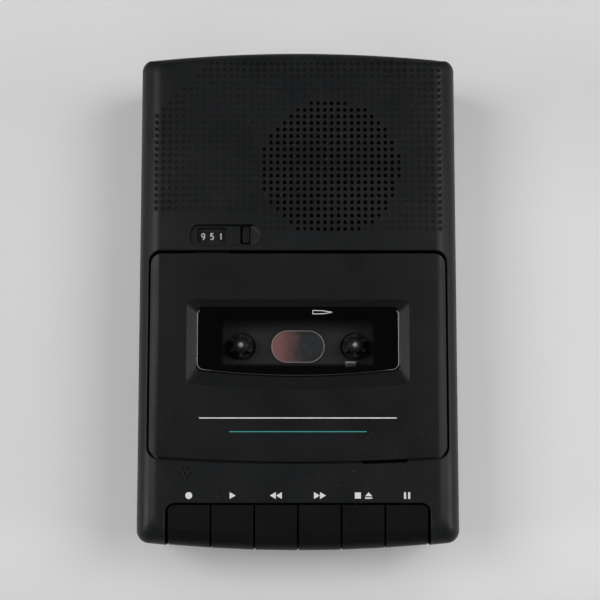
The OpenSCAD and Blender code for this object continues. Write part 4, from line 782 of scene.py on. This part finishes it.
def outer_skin():
    """Rounded skin, a sheet lifted to the case's height, with its openings, the cells of the speaker field,
    and the lips of the openings that are closed loops."""
    holes = [LID_HOLE, BAY_HOLE, PILL_HOLE, *PORTS]
    close_by = [lid_opening(EDGE_EASE + NEAR_GAP), pill(FINE_EASE + NEAR_PILL_GAP)]
    parts = [sheet([RIM, *holes, *close_by], case_height,
                   lambda p: within(p, RIM) & outside(p, *holes) & ~cell_of(p, FIELD),
                   cell_border(FIELD) + skin_bends())]
    parts += cells(FIELD & ~OPEN, False) + cells(OPEN, True)
    parts.append(lip(LID_HOLE, EDGE_EASE, inner_height))
    brink, quads = lip(PILL_HOLE, FINE_EASE, pill_floor)
    foot = slice(-len(PILL_HOLE), None)
    brink[foot, 1] = np.minimum(brink[foot, 1], BED_REAR)
    parts.append((brink, quads))
    return parts + [lip(port, PORT_EASE, SKIN_Z, steps=2) for port in PORTS]


def bay_edge():
    """Eased edge along the sides and rear of the key bay, with cheeks down to the sill. Its points are put
    in order by their direction from a spot inside the bay."""
    end_gap, spot_y = 0.05, BAY_REAR - 6
    edge = BAY_HOLE[BAY_HOLE[:, 1] > MOUTH_Y + end_gap]
    edge = edge[np.argsort(-np.unwrap(np.arctan2(edge[:, 0], edge[:, 1] - spot_y)))]
    edge = np.concatenate([[[BAY_SIDE, MOUTH_Y]], edge, [[-BAY_SIDE, MOUTH_Y]]])

    def bottom(x, y):
        """Foot of the edge: under the top of the sill at the cheeks, and at the inner face elsewhere."""
        return np.where(np.abs(x) > BAY_HALF_W - CHEEK_W, SILL_Z - CHEEK_SINK, SKIN_Z)

    return lip(edge, EDGE_EASE, bottom, closed=False)


def outer_wall():
    """Wall from the rounding down to the groove at the parting line, turned into the bay at both ends."""
    ahead = (np.abs(RIM[:, 0]) < BAY_SIDE) & (RIM[:, 1] < 0)
    path = np.roll(RIM, -int(np.flatnonzero(ahead)[-1]) - 1, 0)[: int((~ahead).sum())]
    quarter = np.linspace(0, QUARTER, 5)
    turn_in = np.stack([BAY_SIDE - EDGE_EASE * np.sin(quarter),
                        MOUTH_Y + EDGE_EASE * (1 - np.cos(quarter))], 1)
    turn_in = np.concatenate([turn_in, [[BAY_HALF_W, MOUTH_Y + MOUTH_RETURN]]])
    path = np.concatenate([turn_in[::-1], path, turn_in * [-1, 1]])
    crown = case_height(path[:, 0], path[:, 1])
    groove = raised(beside(path, -GROOVE_D, False), SPLIT_Z)
    return loft([groove, raised(path, SPLIT_Z + GROOVE_H), raised(path, crown)], wrap=False)


def shelf(seam, drop):
    """Ledge under the lid's edge: a profile along a stretch of its seam, a drop below the inner skin."""
    under = inner_height(seam[:, 0], seam[:, 1]) - drop
    half, nose = SHELF_HALF_W, -SHELF_HALF_W - SHELF_NOSE
    profile = ((half, 0), (-half, 0), (nose, SHELF_NOSE), (nose, SHELF_T), (half, SHELF_T), (half, 0))
    return loft([raised(beside(seam, reach, False), under - fall) for reach, fall in profile], wrap=False)


SEAM = dense(lid_outline(0), 1)
AT_SLOT = (np.abs(SEAM[:, 0] - SLOT_X) < SLOT_W / 2 + SLOT_SPARE) & (SEAM[:, 1] < 0)


def lid_shelf():
    """Shelf along the sides and front of the lid's opening, apart from the latch slot."""
    return [shelf(line, SHELF_DROP) for line in stretches(SEAM, (SEAM[:, 1] < SHELF_REAR) & ~AT_SLOT)]


def slot_shade_floor():
    """Floor of the latch slot, lower than the shelf and clear of the latch, painted black as shade."""
    floors = [shelf(line, SLOT_DROP) for line in stretches(SEAM, AT_SLOT)]
    piece("slot_shade_floor", floors, SLOT_SHADE, "case")


def sill():
    """Sill under the keys: a profile from the groove over the top to the inner face, along the front."""
    run = np.linspace(-BAY_HALF_W, BAY_HALF_W, 41)
    front = np.stack([run, FRONT_Y + BOW * (run / HALF_W) ** 2], 1)
    near = 0.3 * EDGE_EASE
    profile = [(GROOVE_D, SPLIT_Z), (0, SPLIT_Z + GROOVE_H), (0, SILL_Z - EDGE_EASE), (near, SILL_Z - near),
               (EDGE_EASE, SILL_Z), (WALL, SILL_Z), (WALL, SPLIT_Z)]
    return loft([raised(front + [0, d], z) for d, z in profile], wrap=False)


def counter_bed():
    """Floor of the counter recess, a sheet with its slope, and the upright walls of its two cut-outs."""
    bed = pill(0.0)
    bed[:, 1] = np.minimum(bed[:, 1], BED_REAR)
    side_gap = 0.4
    half = PILL_W / 2 - side_gap
    foot = np.array([[RAMP_X, PILL_Y - half], [RAMP_X, PILL_Y + half]])
    base = sheet([bed, *CUTS], pill_floor, lambda p: within(p, bed) & outside(p, *CUTS), [foot])
    walls = [loft([raised(c, PAD_Z), raised(c, pill_floor(c[:, 0], c[:, 1]))], flip=True) for c in CUTS]
    return [base, *walls]


def inner_skin():
    """Inner face of the case, and the joint face between its walls, which is lower at the key bay."""
    holes = [lid_opening(0), bay_opening(0), *CUTS, *PORTS]
    bends = [dense(case_ring(turn, WALL), 8) for turn in np.linspace(0, QUARTER, 6)[1:]]
    skin = sheet([INNER_RIM, *holes, *bends], inner_height,
                 lambda p: within(p, INNER_RIM) & outside(p, *holes) & ~cell_of(p, OPEN),
                 cell_border(OPEN), flip=True)
    outer, inner = case_ring(0), case_ring(0, WALL)
    deep = inner_height(inner[:, 0], inner[:, 1])
    at_bay = (np.abs(inner[:, 0]) < BAY_HALF_W) & (inner[:, 1] < 0)
    top = np.where(at_bay, np.minimum(deep, SILL_Z), deep)
    return [skin, loft([raised(outer, SPLIT_Z), raised(inner, SPLIT_Z), raised(inner, top)], flip=True)]


def case_shell():
    """Upper case, in the place of the plain solid."""
    parts = [*outer_skin(), bay_edge(), outer_wall(), *lid_shelf(), sill(), *counter_bed(), *inner_skin()]
    piece("case_shell", parts, FINISHES["case_plastic"], "case", ["top_case"], sharp=38)


# Prints, figures, trim and the painted lens highlight
SIGN_Y, MARK_Y, MARK_GROW, MARK_RISE = -72.4, -83.5, 1.15, 0.1
INK_SINK, INK_RISE, LENS_INK_RISE = 0.02, 0.0005, 0.03
KEY_TOP, LENS_Z = node_box("key_record")[1, 2], node_box("window_lens")[1, 2]


def plates(outlines, low, high):
    """Flat figures with upright edges, as parts: each outline at two heights, and a face on each."""
    parts = []
    for outline in outlines:
        points, sides = loft([raised(outline, low), raised(outline, high)])
        ring = np.arange(len(outline))[None]
        parts += [(points, sides), (points, ring[:, ::-1]), (points, ring + len(outline))]
    return parts


def both_sides(line, width):
    """Right and left side of a stroke of a width along an open line."""
    return beside(line, width / 2, False), beside(line, -width / 2, False)


def bend(x, y, half_w, half_h, start, end, count=12):
    """Elliptic arc between two angles in degrees."""
    turn = np.radians(np.linspace(start, end, count))
    return np.stack([x + half_w * np.cos(turn), y + half_h * np.sin(turn)], 1)


def strokes(*points):
    """Straight strokes through points."""
    return np.array(points, float)


def pair(shape, apart):
    """The same shape once to the left and once to the right."""
    return [shape - [apart, 0], shape + [apart, 0]]


DISC = round_hole(0, 0, 1.25, 28)
TO_RIGHT = strokes((-1.0, -1.25), (1.15, 0), (-1.0, 1.25))
TO_LEFT = TO_RIGHT[::-1] * [-1, 1]
BAR = oblong([-0.38, -1.2], [0.38, 1.2])
BLOCK = oblong([-1.1, -1.1], [1.1, 1.1])
LIFT = strokes((-1.3, -0.25), (1.3, -0.25), (0, 1.2))
SIGNS = {
    "key_record": [DISC],
    "key_play": [TO_RIGHT],
    "key_rewind": pair(TO_LEFT, 1.1),
    "key_forward": pair(TO_RIGHT, 1.1),
    "key_stop": [BLOCK - [2.0, 0], LIFT + [1.9, 0], oblong([0.6, -1.15], [3.2, -0.65])],
    "key_pause": pair(BAR, 0.75),
}


def key_signs():
    """Printed sign over each key on the case, and the same sign moulded faintly on the key."""
    prints = []
    for name, shapes in SIGNS.items():
        x = middle(name)[0]
        prints += plates([s + [x, SIGN_Y] for s in shapes], TOP_Z - INK_SINK, TOP_Z + INK_RISE)
        moulds = [s * MARK_GROW + [x, MARK_Y] for s in shapes]
        marks = plates(moulds, KEY_TOP - MARK_RISE, KEY_TOP + MARK_RISE)
        piece(name + "_mark", marks, FINISHES["key_plastic"], name)
    piece("key_signs", prints, WHITE_INK, "case")


def lid_prints():
    """White and teal rules on the lid, and the outlined arrow on the border of the lens."""
    for name, outline, finish in (("white_rule", oblong([-36, -44.6], [36, -44.2]), WHITE_INK),
                                  ("teal_rule", oblong([-25, -49.55], [25, -49.2]), TEAL_INK)):
        piece(name, plates([outline], TOP_Z - INK_SINK, TOP_Z + INK_RISE), finish, "lid")
    edge = strokes((5.5, -4.8), (9.2, -4.9), (12.7, -5.45), (9.2, -6.0), (5.5, -6.1), (5.5, -4.8))
    width = 0.26
    sides = [both_sides(edge[i:i + 2], width) for i in range(len(edge) - 1)]
    bars = [np.concatenate([right, left[::-1]]) for right, left in sides]
    piece("tape_arrow", plates(bars, LENS_Z - INK_SINK, LENS_Z + LENS_INK_RISE), WHITE_INK, "lid")


# Figures 0 to 9, each in a box from -0.5 to 0.5, and the size of their strokes
FIGURES = [
    [bend(0, 0, 0.3, 0.5, 0, 360, 28)],
    [strokes((-0.18, 0.3), (0.04, 0.5), (0.04, -0.5))],
    [np.concatenate([bend(0, 0.22, 0.28, 0.28, 160, -30), strokes((-0.3, -0.5), (0.3, -0.5))])],
    [bend(0, 0.25, 0.27, 0.25, 150, -90), bend(0, -0.23, 0.3, 0.27, 90, -150)],
    [strokes((0.14, -0.5), (0.14, 0.5), (-0.32, -0.18), (0.34, -0.18))],
    [np.concatenate([strokes((0.27, 0.5), (-0.2, 0.5), (-0.25, 0.05)),
                     bend(-0.01, -0.18, 0.3, 0.32, 120, -150)])],
    [np.concatenate([bend(0.1, 0.0, 0.4, 0.5, 95, 180, 8), bend(0, -0.2, 0.3, 0.3, 180, 540, 24)])],
    [strokes((-0.3, 0.5), (0.3, 0.5), (-0.1, -0.5))],
    [bend(0, 0.25, 0.25, 0.25, 0, 360, 22), bend(0, -0.24, 0.3, 0.26, 0, 360, 22)],
    [np.concatenate([bend(-0.1, 0.0, 0.4, 0.5, -85, 0, 8), bend(0, 0.2, 0.3, 0.3, 0, 360, 24)])],
]
FIGURE_W, FIGURE_H, FIGURE_TURN = 1.85, 2.25, 36
STROKE_W, STROKE_STEP, STROKE_UP, STROKE_DOWN = 0.4, 0.2, 0.05, -0.03


def wheel_figures(wheel, shown):
    """Figures 0 to 9 round a number wheel. Each stroke is a flat bar carried along its line on the rim,
    where height on the figure becomes an angle, and a higher figure comes up as the wheel turns on."""
    x = middle(wheel)[0]
    reach = WHEEL_R + np.array([STROKE_UP, STROKE_DOWN, STROKE_DOWN, STROKE_UP])
    parts = []
    for figure, lines in enumerate(FIGURES):
        start = math.radians(FIGURE_TURN * (figure - shown))
        for line in lines:
            path = dense(line * [FIGURE_W, FIGURE_H], STROKE_STEP, False)
            right, left = both_sides(path, STROKE_W)
            side = np.stack([right, right, left, left], 1)
            turn = side[..., 1] / WHEEL_R + start
            y, z = AXLE_Y + reach * np.sin(turn), AXLE_Z + reach * np.cos(turn)
            points, faces = loft(np.stack([x + side[..., 0], y, z], 2))
            ends = np.array([np.arange(4), len(points) - 1 - np.arange(4)])
            parts += [(points, faces), (points, ends)]
    piece(wheel + "_figures", parts, FIGURE_INK, wheel)


def bead(path, width, z, rise, closed):
    """Low rounded bead along a plan line: half an ellipse of the width and rise, carried along the line, on
    feet that sink a little into what carries it."""
    turn = np.linspace(0, np.pi, 7)
    rows = [raised(beside(path, width / 2 * math.cos(t), closed), z + rise * math.sin(t)) for t in turn]
    sink = [0, 0, 0.05]
    return loft(np.stack([rows[0] - sink, *rows, rows[-1] - sink]), closed)


def lens_edge_highlight():
    """Bead by the lens's sides and front, painted as the highlight that its moulded edge catches."""
    low, high = node_box("window_lens")
    inset, corner, bow, step, rear_gap = 0.65, 2.4, 2.4, 1.5, 0.6
    edge = bowed(high[0] - inset, low[1] + inset, high[1] - inset, corner, corner, bow, 0)
    # The line starts at the right end of the rear, so that sides and front are one stretch of it
    start = int(np.argmax(edge[:, 1] + 0.001 * edge[:, 0]))
    edge = dense(np.roll(edge, -start, 0), step, False)
    ahead = np.flatnonzero(edge[:, 1] <= high[1] - inset - rear_gap)
    path = edge[ahead[0]:ahead[-1] + 1]
    piece("lens_edge_highlight", [bead(path, width=0.26, z=high[2], rise=0.05, closed=False)], PAINTED_EDGE_HIGHLIGHT, "lid")


def mirror_rim():
    """Bright bead round the edge of the view mirror."""
    low, high = node_box("view_mirror")
    inset, (length, width, _) = 0.2, high - low
    rim = dense(slot_loop((length - width) / 2, width / 2 - inset, 17), 1) + [0, middle("view_mirror")[1]]
    piece("mirror_rim", [bead(rim, width=0.3, z=high[2], rise=0.1, closed=True)], WHITE_METAL, "case")


def counter_mask():
    """Thin mask over the number wheels, under the counter's pane, with one opening for each wheel."""
    bottom, top = AXLE_Z + WHEEL_R + 0.12, AXLE_Z + WHEEL_R + 0.3
    half = np.array([1.35, 1.6])
    outer = oblong(WINDOW_LOW, WINDOW_HIGH)
    spots = [np.array([middle(wheel)[0], AXLE_Y]) for wheel in WHEELS]
    holes = [oblong(spot - half, spot + half) for spot in spots]

    def face(z, flip):
        """Flat face of the mask at a height."""
        return sheet([outer, *holes], lambda x, y: np.full_like(x, z),
                     lambda p: within(p, outer) & outside(p, *holes), flip=flip)

    parts = [face(top, False), face(bottom, True)]
    parts += [loft([raised(h, bottom), raised(h, top)], flip=True) for h in holes]
    parts.append(loft([raised(outer, bottom), raised(outer, top)]))
    piece("counter_mask", parts, MASK, "case")


slot_shade_floor()
case_shell()
key_signs()
lid_prints()
lens_edge_highlight()
mirror_rim()
counter_mask()
for wheel, shown in WHEELS.items():
    wheel_figures(wheel, shown)


# Stage, in metres
LAMPS = (
    ("high_right", (0.75, 0.2, 1.2), (0.5, 0.7), 7.0),
    ("high_left", (-0.75, 0.2, 1.2), (0.5, 0.7), 6.6),
    ("rear_lamp", (0.0, 1.2, 0.75), (1.6, 0.6), 1.6),
    ("right_lamp", (1.2, -0.12, 0.55), (0.55, 0.5), 5.0),
    ("left_lamp", (-1.2, -0.12, 0.6), (0.55, 0.5), 4.9),
    ("front_lamp", (0.0, -1.1, 1.2), (1.4, 0.6), 1.8),
)
SKY = ((0.0, 0.58), (0.1, 0.52), (0.45, 0.05), (0.8, 0.025))
CAMERA_PLACE, CAMERA_TILT, CAMERA_LENS = (0.00076, -0.06543, 0.58359), 6.818, 88.4


def floor_paper():
    """Pale paper with a faint glow of its own, which lifts the shadows beside the case, is lower ahead of
    it and rises far away, where no lamp reaches."""
    f = material("floor_paper")
    drift = f.noise(90, 3, 0.5)
    x, y, _ = f.axes()
    ahead = (0 - y).fade(92, 130)
    sides = x.fade(35, 65) * 0.95 + (0 - x).fade(35, 65) * 0.35
    beside_case = (95 - y).fade(0, 60) * (1 - ahead) * sides
    plain, low, lifted, far = ([level] * 3 for level in (0.085, 0.03, 0.165, 0.42))
    near = f.mix(beside_case, f.mix(ahead, plain, low), lifted)
    glow = f.mix(((x * x + y * y) ** 0.5).fade(300, 1700), near, far)
    return f.coat(Base_Color=f.mix(drift, tone(206), tone(211)), Roughness=0.9, Specular_IOR_Level=0.1,
                  Emission_Color=glow, Emission_Strength=1.0)


def floor():
    """Round floor: rings of points at three distances from the middle."""
    rings = [raised(round_hole(0, 0, reach, 64), 0.0) for reach in (0.0, 0.4, 1.9)]
    points, faces = loft(rings, flip=True)
    mesh = bpy.data.meshes.new("floor")
    mesh.from_pydata(points.tolist(), [], faces.tolist())
    mesh.materials.append(floor_paper())
    obj = placed("floor", mesh)


def lamps():
    """Soft lamps, all turned to the middle of the floor."""
    for name, place, (width, depth), watts in LAMPS:
        data = bpy.data.lights.new(name, "AREA")
        data.shape, data.size, data.size_y, data.energy = "RECTANGLE", width, depth, watts
        obj = placed(name, data)
        obj.location = place
        obj.rotation_euler = (Vector() - Vector(place)).to_track_quat("-Z", "Y").to_euler()


def sky():
    """Studio light from all round: pale at the horizon and dim above."""
    f = Finish(bpy.data.worlds.new("studio"))
    aim = f.node("ShaderNodeTexCoord", out="Generated")
    height = f.node("ShaderNodeSeparateXYZ", {}, {"Vector": aim}, out="Z")
    stops = [(at, (grey, grey, grey, 1)) for at, grey in SKY]
    light = f.node("ShaderNodeValToRGB", {"stops": stops}, {"Fac": height})
    f.node("ShaderNodeOutputWorld", {}, {"Surface": f.node("ShaderNodeBackground", {}, {"Color": light})})
    bpy.context.scene.world = f.owner


def camera():
    """Camera above the recorder, a little in front of its middle."""
    data = bpy.data.cameras.new("camera")
    data.sensor_width, data.lens = 36.0, CAMERA_LENS
    obj = placed("camera", data)
    obj.location = CAMERA_PLACE
    obj.rotation_euler = (math.radians(CAMERA_TILT), 0, 0)
    bpy.context.scene.camera = obj
    bpy.context.scene.view_settings.view_transform = "Standard"


floor()
lamps()
sky()
camera()
